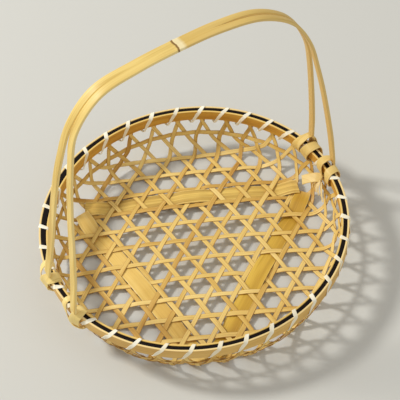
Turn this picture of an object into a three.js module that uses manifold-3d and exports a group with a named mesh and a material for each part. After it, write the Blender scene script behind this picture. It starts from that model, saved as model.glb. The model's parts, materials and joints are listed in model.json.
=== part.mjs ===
// Bamboo tempura basket: a shallow round tray of open hexagon weave on three flat slats,
// a laced two-hoop rim and a split-strip carrying handle tied to the rim at four points.
// Millimetres, +Z up, origin on the surface that the basket stands on, under its centre.
// X runs along the plane of the handle.
import * as THREE from 'three';
import Module from 'manifold-3d';

const wasm = await Module();
wasm.setup();
const { Manifold } = wasm;

const rad = (degrees) => (degrees * Math.PI) / 180;

// woven strips
const STRIPS_PER_WAY = 12;     // in each of the three directions, an even number
const STRIP_WIDTH = 3.4;       // on the base
const WALL_STRIP_WIDTH = 3;    // the same strips, pared down up the wall
const RING_WIDTH = 3.2;        // the strip that runs round the wall
const STRIP_THICK = 0.4;
const CROSS_GAP = 0.25;        // between the faces of two crossing strips on the base
const WALL_CROSS_GAP = 0.55;   // the same on the curved wall
const RING_EXTRA = 0.1;        // a little more where the encircling strip crosses
const WEAVE_TURN = -27.5;      // direction of the first family of strips, degrees from X

// bowl: middle surface of the weave
const WALL_RUN = 17.1;         // from the base's edge out to the middle of the rim
const DOME = 5.35;             // how far the middle of the base stands above its edge
const EDGE_ROW_BEYOND = 2.64;  // the outermost strips lie this far outside the base's edge
const BEND_RADIUS = 11;        // bend between base and wall
const TOP_BEND_RADIUS = 18;    // bend from the leaning wall to the upright rim
const UPRIGHT_BELOW = 3.35;    // the strips stand upright from here, below the hoops
const RING_BELOW = 13.3;       // middle of the strip that runs round the wall, below the hoops
const APEX_ABOVE = 9.1;        // from that strip up to the next crossings, along the wall
const WALL_TWIST = 2.5;        // degrees that the weave turns on its way up to that strip
const STRIP_END_GAP = 1.9;     // from the ends of the woven strips up to the dark filler

// rim
const RIM_RADIUS = 102.1;      // middle of the slot between the hoops
const RIM_TOP = 36.5;          // top of the hoops
const HOOP_THICK = 1.4;
const HOOP_HEIGHT = 8.4;
const SLOT_EASE = 0.6;         // crossing strips to each hoop, in the slot between the hoops
const FILLER_HEIGHT = 1.8;     // dark strip that closes the slot at the top
const FILLER_PROUD = 0.1;      // how far it stands above the hoops
const FILLER_GAP = 0.15;       // filler to each hoop
const ROUND_STEPS = 60;        // sides of each hoop

// lacing
const LACE_WIDTH = 2.6;
const LACE_THICK = 0.5;
const LACE_GAP = 0.4;          // lacing to the hoops
// where each turn passes the corners of the rim, in openings away from the middle of
// its own opening, to the right as seen from the inside
const LACE_IN_LOW = 0.08;
const LACE_IN_TOP = 0.3;
const LACE_OUT_TOP = 0.45;
const LACE_OUT_LOW = 0.77;
const LACE_DRIFT = 0.07;       // the turns lie up to twice this far back, most at the front
const LACE_DRIFT_MOST = 240;   // direction in which they do, degrees from X

// base slats
const SLAT_WIDTH = 12;
const SLAT_THICK = 0.9;
const SLAT_GAP = 0.18;         // slat to the strips above or below it
const SLAT_ROW = 3;            // the row of hexagons that each slat lies in
const SLAT_SAG = 1.1;          // how far the middle crossing is pushed down under a slat
const SLAT_UNDER = 3;          // crossings that lie above the slat, on each side of the middle one
const SLAT_EASE = 0.6;         // the slat is level this far past the strips of a crossing
const SLAT_BEYOND = 3.4;       // both ends reach this far past the next crossing, above it
const SLAT_LAP_GAP = 0.6;      // between two slats that lie on each other
const FOOT_LENGTH = 9;         // flat part under the last of those crossings

// handle
const HANDLE_TOP = 204.4;      // middle of the strip at its highest
const HANDLE_START = 5;        // the legs stand free from this far above the rim
const LEG_WIDTH = 5.6;
const RIGHT_LEG_WIDTH = 4.7;   // the right legs are pared down
const LEG_THICK = 2;
const LEG_FOOT_THICK = 1.5;    // at the rim
const HALF_BAND = 2.2;         // from the middle of the band to the middle of each half
const CULM_RIDGE = 0.45;       // how far the bamboo's own node stands out
const CULM_LENGTH = 2.4;       // length of that node along the band
const HALF_SLIT = 1;           // each half moves aside this far before the legs spread
// side view of one half of the arch: part of the way out to the foot, part of the height
const LEFT_ARCH = [[1, 0], [0.93, 0.17], [0.84, 0.51], [0.78, 0.68], [0.69, 0.85], [0.51, 0.967], [0.24, 0.996]];
const RIGHT_ARCH = [[0.03, 1], [0.3, 0.99], [0.56, 0.95], [0.77, 0.847], [0.89, 0.695], [0.94, 0.52], [0.99, 0.17],
  [1, 0]];
const CULM_AT = 0.496;         // parts of the handle's length: the bamboo's node,
const LEFT_SLIT = [0.3, 0.42]; // where the left slit is open and where it ends,
const LEFT_SPREAD = 0.3;       // the start of the left pair of legs,
const RIGHT_SLIT = [0.52, 0.62];   // where the right slit starts and where it is open,
const RIGHT_SPREAD = 0.785;    // and the start of the right pair of legs
const LEG_CURVE = 0.8;         // the legs spread fastest where they part

// tied ends of the legs
const TAIL_WIDTH = 4.6;
const TAIL_THICK = 0.7;
const TIE_GAP = 0.55;          // between the tied ends and what they pass
const TIE_CROSS_GAP = 0.75;    // the same where an end crosses itself
const TIE_CORNER = 0.5;        // how far the ends cut the corners of the rim
const TIE_START = 1;           // below the rim's top, where the leg ends
const TIE_THINNED = 5;         // the same, where it is thinned down
const TIE_TURN_UNDER = 3;      // above the hoops' low edge, where the last run turns under
const TIE_TUCK = 8;            // length tucked up inside
const FOOT_PROUD = 0.5;        // the legs stand this far outside the ties
const LOOSE_DROP = 11;         // the loose end hangs this far below the hoops
const LOOSE_IN = 5;            // and this far in from the inner hoop
const FRAY_WIDTH = 1.5;        // how much wider it is at its frayed end
// each tie starts at the opening in the wall nearest to a direction; where it passes is
// given from the middle of that opening, in openings to the left as seen from the inside
const TIES = [
  { side: 1, back: 1, near: 10, leg: -0.18, under: -0.16, over: -0.6, last: 0.16, loose: false },
  { side: 1, back: -1, near: 0, leg: -0.79, under: -0.18, over: -0.36, last: -0.82, loose: true },
  { side: -1, back: 1, near: 170, leg: 0.22, under: 0.16, over: 0.44, last: -0.16, loose: false },
  { side: -1, back: -1, near: 190, leg: 0.13, under: 0.15, over: 0.28, last: -0.17, loose: false },
];

// fineness of the paths
const TRACE_STEP = 0.25;       // along the bowl's profile
const SAMPLE_STEP = 1.2;       // along a strip, to find its crossings
const LEVEL_EXTRA = 0.2;       // a strip stays level this far past a crossing's corner
const SLOPE_LEAST = 0.9;       // least length from one level part to the next
const END_LEAST = 0.4;         // least length left at a strip's end
const HANDLE_PIECES = 34;

// worked out from the sizes above
const WALL_CELLS = 3 * STRIPS_PER_WAY;                 // openings round the wall
const CELL = (2 * Math.PI) / WALL_CELLS;
const LEAN = CELL / 4 / APEX_ABOVE;                    // sideways drift for each mm up the wall
const BASE_RADIUS = RIM_RADIUS - WALL_RUN;             // where the base starts to bend up
const ROW = (BASE_RADIUS + EDGE_ROW_BEYOND) / (STRIPS_PER_WAY / 2 - 0.5);   // strip to strip
const WEAVE_RISE = (STRIP_THICK + CROSS_GAP) / 2;      // middle surface to a strip's middle
const WALL_RISE = (STRIP_THICK + WALL_CROSS_GAP) / 2;
const RING_RISE = WALL_RISE + RING_EXTRA;
const SLOT = 2 * WALL_RISE + STRIP_THICK + 2 * SLOT_EASE;
const HOOP_LOW = RIM_TOP - HOOP_HEIGHT;
const IN_FACE = RIM_RADIUS - SLOT / 2 - HOOP_THICK;    // inner face of the inner hoop
const OUT_FACE = RIM_RADIUS + SLOT / 2 + HOOP_THICK;   // outer face of the outer hoop
const FILLER_LOW = RIM_TOP + FILLER_PROUD - FILLER_HEIGHT;
const HALF_WEAVE = WEAVE_RISE + STRIP_THICK / 2;
const EDGE_SLOPE = -Math.atan((2 * DOME) / BASE_RADIUS);
// along a slat: crossing to crossing, and from a crossing to where its strips clear the slat
const PITCH = (2 * ROW) / Math.sqrt(3);
const CROSS_REACH = (SLAT_WIDTH / 2) / Math.tan(rad(60)) + (STRIP_WIDTH / 2) / Math.sin(rad(60));
const SLAT_OVER = CROSS_REACH + SLAT_EASE;             // half length of the part above the middle
const UNDER_START = PITCH - CROSS_REACH;               // the slat is below the weave from here out
const FOOT_END = SLAT_UNDER * PITCH + CROSS_REACH;
const END_START = (SLAT_UNDER + 1) * PITCH - SLAT_OVER;       // and above it from here out
// neighbouring slats start to lie on each other here
const LAP_START = SLAT_ROW * ROW * Math.tan(rad(60))
  - (SLAT_WIDTH / 2) * (1 + Math.cos(rad(60))) / Math.sin(rad(60)) - SLAT_EASE;
const SLAT_HALF = (SLAT_UNDER + 1) * PITCH + SLAT_BEYOND;
// the feet stand on the surface and the weave lies just clear of their outer corners
const FOOT_CORNER = Math.hypot(FOOT_END, SLAT_ROW * ROW + SLAT_WIDTH / 2);
const EDGE_HEIGHT = SLAT_THICK + SLAT_GAP + HALF_WEAVE - DOME * (1 - (FOOT_CORNER / BASE_RADIUS) ** 2);

const step = (from, to, value) => {
  const t = Math.min(1, Math.max(0, (value - from) / (to - from)));
  return t * t * (3 - 2 * t);
};

// lean of the wall, from level, that brings the strips upright just below the hoops
function leanOfWall() {
  const rise = HOOP_LOW - UPRIGHT_BELOW - EDGE_HEIGHT;
  let [low, high] = [rad(30), rad(89)];
  for (let i = 0; i < 40; i += 1) {
    const lean = (low + high) / 2;
    const bends = BEND_RADIUS * (Math.sin(lean) - Math.sin(EDGE_SLOPE)) + TOP_BEND_RADIUS * (1 - Math.sin(lean));
    const reached = BEND_RADIUS * (Math.cos(EDGE_SLOPE) - Math.cos(lean)) + TOP_BEND_RADIUS * Math.cos(lean)
      + (WALL_RUN - bends) * Math.tan(lean);
    if (reached > rise) high = lean; else low = lean;
  }
  return low;
}
const WALL_LEAN = leanOfWall();

// profile of the bowl from its centre out to the rim: radius, height, slope and length
function traceBowl() {
  const points = [];
  let [r, z, a] = [0, EDGE_HEIGHT + DOME, 0];
  for (r = 0; r <= BASE_RADIUS; r += TRACE_STEP) {
    z = EDGE_HEIGHT + DOME * (1 - (r / BASE_RADIUS) ** 2);
    points.push({ r, z, a: -Math.atan((2 * DOME * r) / BASE_RADIUS ** 2) });
  }
  ({ r, z, a } = points[points.length - 1]);
  const moveWhile = (going, turnRadius = Infinity) => {
    while (going()) {
      a = Math.min(Math.PI / 2, a + TRACE_STEP / turnRadius);
      r += TRACE_STEP * Math.cos(a);
      z += TRACE_STEP * Math.sin(a);
      points.push({ r, z, a });
    }
  };
  const topBend = TOP_BEND_RADIUS * (1 - Math.sin(WALL_LEAN));
  moveWhile(() => a < WALL_LEAN, BEND_RADIUS);
  moveWhile(() => r < RIM_RADIUS - topBend);
  moveWhile(() => a < Math.PI / 2, TOP_BEND_RADIUS);
  moveWhile(() => z < RIM_TOP);
  let rho = 0;
  points.forEach((p, i) => {
    if (i) rho += Math.hypot(p.r - points[i - 1].r, p.z - points[i - 1].z);
    p.rho = rho;
  });
  return points;
}
const bowl = traceBowl();

// radius, height and slope at a length along the profile
function bowlAt(rho) {
  let low = 0;
  let high = bowl.length - 1;
  while (high - low > 1) {
    const mid = (low + high) >> 1;
    if (bowl[mid].rho > rho) high = mid; else low = mid;
  }
  const t = Math.min(1, (rho - bowl[low].rho) / (bowl[high].rho - bowl[low].rho));
  const mix = (key) => bowl[low][key] + t * (bowl[high][key] - bowl[low][key]);
  return { r: mix('r'), z: mix('z'), a: mix('a') };
}
const lengthAtHeight = (height) => bowl.find((p) => p.a > 0 && p.z >= height).rho;

// a point on the bowl, rho along the profile from the centre, lifted off along the normal
function onBowl(rho, theta, lift = 0) {
  const { r, z, a } = bowlAt(rho);
  const radial = r - lift * Math.sin(a);
  return new THREE.Vector3(radial * Math.cos(theta), radial * Math.sin(theta), z + lift * Math.cos(a));
}
function bowlNormal(rho, theta) {
  const { a } = bowlAt(rho);
  return new THREE.Vector3(-Math.sin(a) * Math.cos(theta), -Math.sin(a) * Math.sin(theta), Math.cos(a));
}

const RHO_RING = lengthAtHeight(HOOP_LOW - RING_BELOW);
const RHO_APEX = RHO_RING + APEX_ABOVE;
const twistAt = (rho) => rad(WALL_TWIST) * step(BASE_RADIUS, RHO_RING, rho);
const RHO_END = lengthAtHeight(FILLER_LOW - STRIP_END_GAP);
const BEND_LENGTH = BEND_RADIUS * (WALL_LEAN - EDGE_SLOPE);
const EDGE_ZONE = BEND_LENGTH / 2;      // the strips change over this length at the base's edge
const widthAt = (rho) => STRIP_WIDTH
  + (WALL_STRIP_WIDTH - STRIP_WIDTH) * step(BASE_RADIUS - EDGE_ZONE / 2, BASE_RADIUS + EDGE_ZONE, rho);
const riseAt = (rho) => WEAVE_RISE + (WALL_RISE - WEAVE_RISE) * step(BASE_RADIUS - EDGE_ZONE, BASE_RADIUS, rho);

// a solid from a row of four-cornered sections; closed joins the last section to the first
function solidFromSections(sections, closed = false) {
  const count = sections.length;
  const sides = sections[0].length;
  const positions = sections.flat().flatMap((p) => [p.x, p.y, p.z]);
  const index = [];
  for (let i = 0; i < (closed ? count : count - 1); i += 1) {
    const j = (i + 1) % count;
    for (let k = 0; k < sides; k += 1) {
      const l = (k + 1) % sides;
      const [a, b, c, d] = [i * sides + k, i * sides + l, j * sides + l, j * sides + k];
      index.push(a, b, c, a, c, d);
    }
  }
  if (!closed) {
    const last = (count - 1) * sides;
    for (let k = 1; k < sides - 1; k += 1) {
      index.push(0, k + 1, k);
      index.push(last, last + k, last + k + 1);
    }
  }
  const geometry = new THREE.BufferGeometry();
  geometry.setAttribute('position', new THREE.Float32BufferAttribute(positions, 3));
  geometry.setIndex(index);
  if (signedVolume(geometry) < 0) {
    for (let i = 0; i < index.length; i += 3) [index[i + 1], index[i + 2]] = [index[i + 2], index[i + 1]];
    geometry.setIndex(index);
  }
  geometry.computeVertexNormals();
  return geometry;
}
function signedVolume(geometry) {
  const position = geometry.getAttribute('position');
  const index = geometry.getIndex().array;
  const [a, b, c] = [new THREE.Vector3(), new THREE.Vector3(), new THREE.Vector3()];
  let volume = 0;
  for (let i = 0; i < index.length; i += 3) {
    a.fromBufferAttribute(position, index[i]);
    b.fromBufferAttribute(position, index[i + 1]);
    c.fromBufferAttribute(position, index[i + 2]);
    volume += a.dot(b.cross(c)) / 6;
  }
  return volume;
}

// a flat strip along points that each carry a face normal, a width and a thickness; where
// thin is false its thickness is kept up through the corners
function stripThrough(stations, closed = false) {
  const count = stations.length;
  const sections = stations.map((s, i) => {
    const before = stations[closed ? (i + count - 1) % count : Math.max(0, i - 1)].p;
    const after = stations[closed ? (i + 1) % count : Math.min(count - 1, i + 1)].p;
    const into = s.p.clone().sub(before).normalize();
    const out = after.clone().sub(s.p).normalize();
    if (!closed && i === 0) into.copy(out);
    if (!closed && i === count - 1) out.copy(into);
    const along = into.clone().add(out).normalize();
    const mitre = s.thin ? 1 : Math.min(1.5, 1 / Math.max(0.4, into.dot(along)));
    const side = along.clone().cross(s.n).normalize();
    const up = side.clone().cross(along).normalize().multiplyScalar((s.t / 2) * mitre);
    side.multiplyScalar(s.w / 2);
    return [
      s.p.clone().sub(side).sub(up), s.p.clone().add(side).sub(up),
      s.p.clone().add(side).add(up), s.p.clone().sub(side).add(up),
    ];
  });
  return solidFromSections(sections, closed);
}

// paths of the woven strips
// Every strip is a straight line of the flat weave. On the wall it drifts sideways so that
// all strip ends stand evenly round the rim, half of them leaning each way.
const families = [0, 1, 2].map((f) => rad(WEAVE_TURN + 60 * f));

function makeStrip(family, row) {
  const offset = row * ROW;
  const d = Math.abs(offset);
  const outward = families[family] + (offset > 0 ? Math.PI / 2 : -Math.PI / 2);
  const atRing = Math.PI / 2 - CELL / 4 - Math.floor(d / ROW) * CELL;
  const drift = atRing - Math.acos(d / RHO_RING);
  const driftSlope = LEAN - d / (RHO_RING * Math.sqrt(RHO_RING ** 2 - d ** 2));
  const start = Math.max(BASE_RADIUS, d);
  // polar place on the bowl, at a distance s along the flat line from its middle
  const place = (s) => {
    const rho = Math.hypot(s, d);
    let phi;
    if (rho <= RHO_RING) {
      const t = Math.min(1, Math.max(0, (rho - start) / (RHO_RING - start)));
      phi = Math.acos(Math.min(1, d / rho)) + drift * t * t * (3 - 2 * t)
        + driftSlope * (RHO_RING - start) * (t * t * t - t * t);
    } else if (rho <= RHO_APEX) {
      phi = atRing + LEAN * (rho - RHO_RING);
    } else {
      phi = atRing + CELL / 4 + (CELL / 7) * ((rho - RHO_APEX) / (RHO_END - RHO_APEX));
    }
    const falling = s * offset > 0;      // leans towards smaller angles as it climbs
    return { rho, theta: outward + twistAt(rho) + (falling ? -phi : phi), falling };
  };
  const reach = Math.sqrt(RHO_END ** 2 - d ** 2);
  const samples = [];
  const steps = Math.ceil((2 * reach) / SAMPLE_STEP);
  for (let i = 0; i <= steps; i += 1) {
    const s = -reach + (2 * reach * i) / steps;
    const { rho, theta } = place(s);
    samples.push({ s, x: rho * Math.cos(theta), y: rho * Math.sin(theta) });
  }
  return { family, d, place, reach, samples, crossings: [] };
}

const strips = [];
for (let family = 0; family < 3; family += 1) {
  for (let i = 0; i < STRIPS_PER_WAY; i += 1) strips.push(makeStrip(family, i - (STRIPS_PER_WAY - 1) / 2));
}

// where the middle lines of two strips meet, as distances along each
function meetings(one, two) {
  const found = [];
  const near = 2.5 * SAMPLE_STEP;
  for (let i = 1; i < one.samples.length; i += 1) {
    const [a, b] = [one.samples[i - 1], one.samples[i]];
    for (let j = 1; j < two.samples.length; j += 1) {
      const [c, d] = [two.samples[j - 1], two.samples[j]];
      if (Math.abs(a.x - c.x) > near || Math.abs(a.y - c.y) > near) continue;
      const den = (b.x - a.x) * (d.y - c.y) - (b.y - a.y) * (d.x - c.x);
      if (Math.abs(den) < 1e-9) continue;
      const t = ((c.x - a.x) * (d.y - c.y) - (c.y - a.y) * (d.x - c.x)) / den;
      const u = ((c.x - a.x) * (b.y - a.y) - (c.y - a.y) * (b.x - a.x)) / den;
      if (t < 0 || t >= 1 || u < 0 || u >= 1) continue;
      const crossAngle = Math.abs(Math.atan2(den, (b.x - a.x) * (d.x - c.x) + (b.y - a.y) * (d.y - c.y)));
      found.push({ s1: a.s + t * (b.s - a.s), s2: c.s + u * (d.s - c.s), crossAngle });
    }
  }
  return found;
}

// outward directions of the rows that hold the three slats
const slatDirections = [0, 1, 2].map((i) => rad(WEAVE_TURN + 90 + 120 * i));
// the crossings under the middle of a slat are pushed down a little
function sagAt(rho, theta) {
  let sag = 0;
  for (const direction of slatDirections) {
    const x = Math.abs(rho * Math.sin(theta - direction));
    const y = Math.abs(rho * Math.cos(theta - direction) - SLAT_ROW * ROW);
    sag -= SLAT_SAG * (1 - step(SLAT_OVER, UNDER_START, x)) * (1 - step(ROW / 2, 1.5 * ROW, y));
  }
  return sag;
}

for (let i = 0; i < strips.length; i += 1) {
  for (let j = i + 1; j < strips.length; j += 1) {
    for (const { s1, s2, crossAngle } of meetings(strips[i], strips[j])) {
      const at = strips[i].place(s1);
      const sag = sagAt(at.rho, at.theta);
      // each family passes over the next lower one all over the basket
      let over = (strips[i].family + 2) % 3 === strips[j].family;
      if (strips[i].family === strips[j].family) over = !at.falling;
      strips[i].crossings.push({ s: s1, crossAngle, lift: sag + (over ? 1 : -1) * riseAt(at.rho) });
      strips[j].crossings.push({ s: s2, crossAngle, lift: sag - (over ? 1 : -1) * riseAt(at.rho) });
    }
  }
}

// the encircling strip passes under the strips that lean one way and over the others
const ringCrossings = [];
const leanAngle = Math.atan(1 / (LEAN * bowlAt(RHO_RING).r));
for (const strip of strips) {
  for (const sign of [-1, 1]) {
    const s = sign * Math.sqrt(RHO_RING ** 2 - strip.d ** 2);
    const at = strip.place(s);
    const lift = at.falling ? RING_RISE : -RING_RISE;
    strip.crossings.push({ s, crossAngle: leanAngle, lift });
    ringCrossings.push({ theta: (at.theta + 4 * Math.PI) % (2 * Math.PI), lift: -lift });
  }
  strip.crossings.sort((a, b) => a.s - b.s);
}
ringCrossings.sort((a, b) => a.theta - b.theta);

// half length of the level part of a strip where another one crosses it
const levelHalf = (crossAngle, rho) =>
  (widthAt(rho) / 2) * (1 + Math.abs(Math.cos(crossAngle))) / Math.sin(crossAngle) + LEVEL_EXTRA;

// true length of a strip for each millimetre of its flat line, which the drift changes
function stretchAt(strip, s) {
  const [a, b] = [strip.place(s - SAMPLE_STEP / 2), strip.place(s + SAMPLE_STEP / 2)];
  return onBowl(a.rho, a.theta).distanceTo(onBowl(b.rho, b.theta)) / SAMPLE_STEP;
}

function stripGeometry(strip) {
  const stops = [];
  const list = strip.crossings;
  const { reach } = strip;
  const halves = list.map((c) => levelHalf(c.crossAngle, strip.place(c.s).rho) / stretchAt(strip, c.s));
  // where two crossings are close, their level parts share the room between them
  const share = (i, j) => {
    const room = Math.abs(list[j].s - list[i].s) - SLOPE_LEAST;
    return halves[i] * Math.min(1, room / (halves[i] + halves[j]));
  };
  const last = list.length - 1;
  list.forEach((c, i) => {
    const before = i ? share(i, i - 1) : Math.min(halves[i], c.s + reach - END_LEAST);
    const after = i < last ? share(i, i + 1) : Math.min(halves[i], reach - c.s - END_LEAST);
    const { rho } = strip.place(c.s);
    const bends = rho > BASE_RADIUS - STRIP_WIDTH / 2 && rho < BASE_RADIUS + BEND_LENGTH + STRIP_WIDTH / 2;
    stops.push({ s: c.s - before, lift: c.lift });
    if (bends) stops.push({ s: c.s, lift: c.lift });
    stops.push({ s: c.s + after, lift: c.lift });
  });
  stops.unshift({ s: -reach, lift: list[0].lift });
  stops.push({ s: reach, lift: list[last].lift });
  return stripThrough(stops.map(({ s, lift }) => {
    const { rho, theta } = strip.place(s);
    return { p: onBowl(rho, theta, lift), n: bowlNormal(rho, theta), w: widthAt(rho), t: STRIP_THICK, thin: true };
  }));
}

function ringGeometry() {
  const { r } = bowlAt(RHO_RING);
  const half = Math.min(levelHalf(leanAngle, RHO_RING), (r * CELL) / 4 - SLOPE_LEAST / 2) / r;
  const stations = [];
  for (const { theta, lift } of ringCrossings) {
    for (const t of [theta - half, theta + half]) {
      stations.push({
        p: onBowl(RHO_RING, t, lift), n: bowlNormal(RHO_RING, t), w: RING_WIDTH, t: STRIP_THICK, thin: true,
      });
    }
  }
  return stripThrough(stations, true);
}

// base slats
// Each lies along a row of hexagons: above the middle crossing, below the weave on both sides of
// it down to a flat foot, and above the weave again at both ends. Its far end is raised on to
// the near end of the next slat.
function slatGeometry(direction) {
  const along = new THREE.Vector2(Math.sin(direction), -Math.cos(direction));
  const across = new THREE.Vector2(Math.cos(direction), Math.sin(direction));
  const evenly = (from, to, count) => Array.from({ length: count + 1 }, (_, i) => from + ((to - from) * i) / count);
  const footStart = FOOT_END - FOOT_LENGTH;
  const half = [
    SLAT_OVER, ...evenly(UNDER_START, footStart - FOOT_LENGTH, 3), footStart, FOOT_END,
    END_START, ...evenly(LAP_START, SLAT_HALF, 2),
  ];
  const sections = [...half.map((x) => -x).reverse(), ...half].map((x) => {
    const out = Math.abs(x);
    const corner = (sideSign, faceSign) => {
      const flat = along.clone().multiplyScalar(x)
        .add(across.clone().multiplyScalar(SLAT_ROW * ROW + (sideSign * SLAT_WIDTH) / 2));
      if (out >= footStart && out <= FOOT_END) return new THREE.Vector3(flat.x, flat.y, faceSign > 0 ? SLAT_THICK : 0);
      const rho = flat.length();
      const clear = riseAt(rho) + (STRIP_THICK + SLAT_THICK) / 2 + SLAT_GAP;
      let lift = -clear;
      if (out <= SLAT_OVER) lift = clear - SLAT_SAG;
      if (out >= END_START) lift = clear + (x >= LAP_START ? SLAT_THICK + SLAT_LAP_GAP : 0);
      return onBowl(rho, flat.angle(), lift + (faceSign * SLAT_THICK) / 2);
    };
    return [corner(-1, -1), corner(1, -1), corner(1, 1), corner(-1, 1)];
  });
  return solidFromSections(sections);
}

// rim
// a hoop of rectangular section, closed on itself
function hoop(rIn, rOut, zLow, zHigh) {
  const sections = [];
  for (let i = 0; i < ROUND_STEPS; i += 1) {
    const t = (2 * Math.PI * i) / ROUND_STEPS;
    sections.push([[rIn, zLow], [rOut, zLow], [rOut, zHigh], [rIn, zHigh]]
      .map(([r, z]) => new THREE.Vector3(r * Math.cos(t), r * Math.sin(t), z)));
  }
  return solidFromSections(sections, true);
}

// middle of the opening under the rim that is nearest to a direction: the strips cross
// halfway between two openings
const firstCrossing = rad(WEAVE_TURN + 30 + WALL_TWIST);
const openingNear = (direction) =>
  firstCrossing + CELL * (Math.round((direction - firstCrossing) / CELL - 0.5) + 0.5);

// one long flat lace, wound round both hoops through every opening under the rim
function lacingGeometry() {
  // one corner of a turn: near and far face of the lace, both edges
  const corner = (turn, inside, high, place) => {
    const opening = openingNear(0) - turn * CELL;
    const drift = LACE_DRIFT * (1 + Math.cos(opening - rad(LACE_DRIFT_MOST)));
    const theta = opening + (drift - place) * CELL;
    const at = (away, t) => {
      const r = inside ? IN_FACE - away : OUT_FACE + away;
      return new THREE.Vector3(r * Math.cos(t), r * Math.sin(t), high ? RIM_TOP + away : HOOP_LOW - away);
    };
    const half = LACE_WIDTH / 2 / OUT_FACE;
    const [near, far] = [LACE_GAP, LACE_GAP + LACE_THICK];
    return [at(near, theta - half), at(near, theta + half), at(far, theta + half), at(far, theta - half)];
  };
  const sections = [];
  for (let turn = 0; turn < WALL_CELLS; turn += 1) {
    // up inside, over the top, down outside, and under to the next opening
    sections.push(corner(turn, true, false, LACE_IN_LOW));
    sections.push(corner(turn, true, true, LACE_IN_TOP));
    sections.push(corner(turn, false, true, LACE_OUT_TOP));
    sections.push(corner(turn, false, false, LACE_OUT_LOW));
  }
  return solidFromSections(sections);
}

// handle
const TIE_AWAY = LACE_GAP + LACE_THICK + TIE_GAP + TAIL_THICK / 2;   // hoops to a tie's middle
const FOOT_RADIUS = OUT_FACE + TIE_AWAY + FOOT_PROUD;
// direction of a place on a tie
const tieAngle = (tie, place) => openingNear(rad(tie.near)) + place * CELL;
const findTie = (side, back) => TIES.find((tie) => tie.side === side && tie.back === back);

const footX = (side) => side * FOOT_RADIUS * Math.abs(Math.cos(tieAngle(findTie(side, 1), findTie(side, 1).leg)));
const archPoint = (side) => ([out, up]) =>
  new THREE.Vector3(footX(side) * out, 0, RIM_TOP + HANDLE_START + (HANDLE_TOP - RIM_TOP - HANDLE_START) * up);
const handleCurve = new THREE.CatmullRomCurve3(
  [...LEFT_ARCH.map(archPoint(-1)), ...RIGHT_ARCH.map(archPoint(1))], false, 'centripetal');

// normal of the band, away from the inside of the arch
const bandNormal = (u) => {
  const tangent = handleCurve.getTangentAt(u);
  return new THREE.Vector3(-tangent.z, 0, tangent.x);
};

function handleHalf(back, leftTie, rightTie) {
  const footY = (tie) => FOOT_RADIUS * Math.abs(Math.sin(tieAngle(tie, tie.leg)));
  const stations = [];
  for (let i = 0; i <= HANDLE_PIECES; i += 1) {
    const u = i / HANDLE_PIECES;
    const p = handleCurve.getPointAt(u);
    const slit = HALF_SLIT * (1 - step(...LEFT_SLIT, u) + step(...RIGHT_SLIT, u));
    const left = Math.max(0, 1 - u / LEFT_SPREAD) ** LEG_CURVE;
    const right = Math.max(0, (u - RIGHT_SPREAD) / (1 - RIGHT_SPREAD)) ** LEG_CURVE;
    const middle = HALF_BAND + slit;
    const v = middle + (footY(leftTie) - middle) * left + (footY(rightTie) - middle) * right;
    const w = LEG_WIDTH + (RIGHT_LEG_WIDTH - LEG_WIDTH) * step(...RIGHT_SLIT, u);
    const t = LEG_FOOT_THICK + (LEG_THICK - LEG_FOOT_THICK) * step(0, 0.06, Math.min(u, 1 - u));
    stations.push({ p: new THREE.Vector3(p.x, back * v, p.z), n: bandNormal(u), w, t });
  }
  return stripThrough([...tieStations(leftTie).reverse(), ...stations, ...tieStations(rightTie)]);
}

// The thinned end of a leg: down outside, under the hoops, up inside, over the top,
// down outside across itself, under again and in
function tieStations(tie) {
  const rOut = OUT_FACE + TIE_AWAY;
  const rOver = rOut + TAIL_THICK + TIE_CROSS_GAP;
  const rIn = IN_FACE - TIE_AWAY;
  const zTop = RIM_TOP + TIE_AWAY;
  const zLow = HOOP_LOW - TIE_AWAY;
  const c = TIE_CORNER;
  const [leg, under, over, last] = [tie.leg, tie.under, tie.over, tie.last];
  const mix = (from, to, t) => from + (to - from) * t;
  const stations = [];
  const add = (r, z, place, nr, nz, w = TAIL_WIDTH, t = TAIL_THICK) => {
    const a = tieAngle(tie, place);
    stations.push({
      p: new THREE.Vector3(r * Math.cos(a), r * Math.sin(a), z),
      n: new THREE.Vector3(nr * Math.cos(a), nr * Math.sin(a), nz).normalize(), w, t,
    });
  };
  add(rOut + FOOT_PROUD / 2, RIM_TOP - TIE_START, mix(leg, under, 0.1), 1, 0, LEG_WIDTH, (LEG_FOOT_THICK + TAIL_THICK) / 2);
  add(rOut, RIM_TOP - TIE_THINNED, mix(leg, under, 0.4), 1, 0);
  add(rOut, zLow + c, under, 1, -0.4);
  add(rOut - c, zLow, under, 0.4, -1);
  add(rIn + c, zLow, under, -0.4, -1);
  add(rIn, zLow + c, mix(under, over, 0.1), -1, -0.4);
  add(rIn, zTop - c, mix(under, over, 0.9), -1, 0.4);
  add(rIn + c, zTop, over, -0.4, 1);
  add(rOver - c, zTop, over, 0.4, 1);
  add(rOver, zTop - c, mix(over, last, 0.08), 1, 0.4);
  add(rOver, HOOP_LOW + TIE_TURN_UNDER, mix(over, last, 0.9), 1, 0);
  add(rOver, zLow + c, last, 1, -0.4);
  add(rOver - c, zLow, last, 0.4, -1);
  if (tie.loose) {
    add(mix(rIn, rOut, 0.1), zLow, last, 0.2, -1);
    add(mix(rIn, rIn - LOOSE_IN, 0.3), mix(zLow, zLow - LOOSE_DROP, 0.35), last, 1, -0.4);
    add(rIn - LOOSE_IN, zLow - LOOSE_DROP, last, 1, -0.4, TAIL_WIDTH + FRAY_WIDTH);
  } else {
    add(rIn + c, zLow, last, -0.4, -1);
    add(rIn, zLow + c, last, -1, -0.4);
    add(rIn, zLow + TIE_TUCK, last, -1, 0);
  }
  return stations;
}

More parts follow.
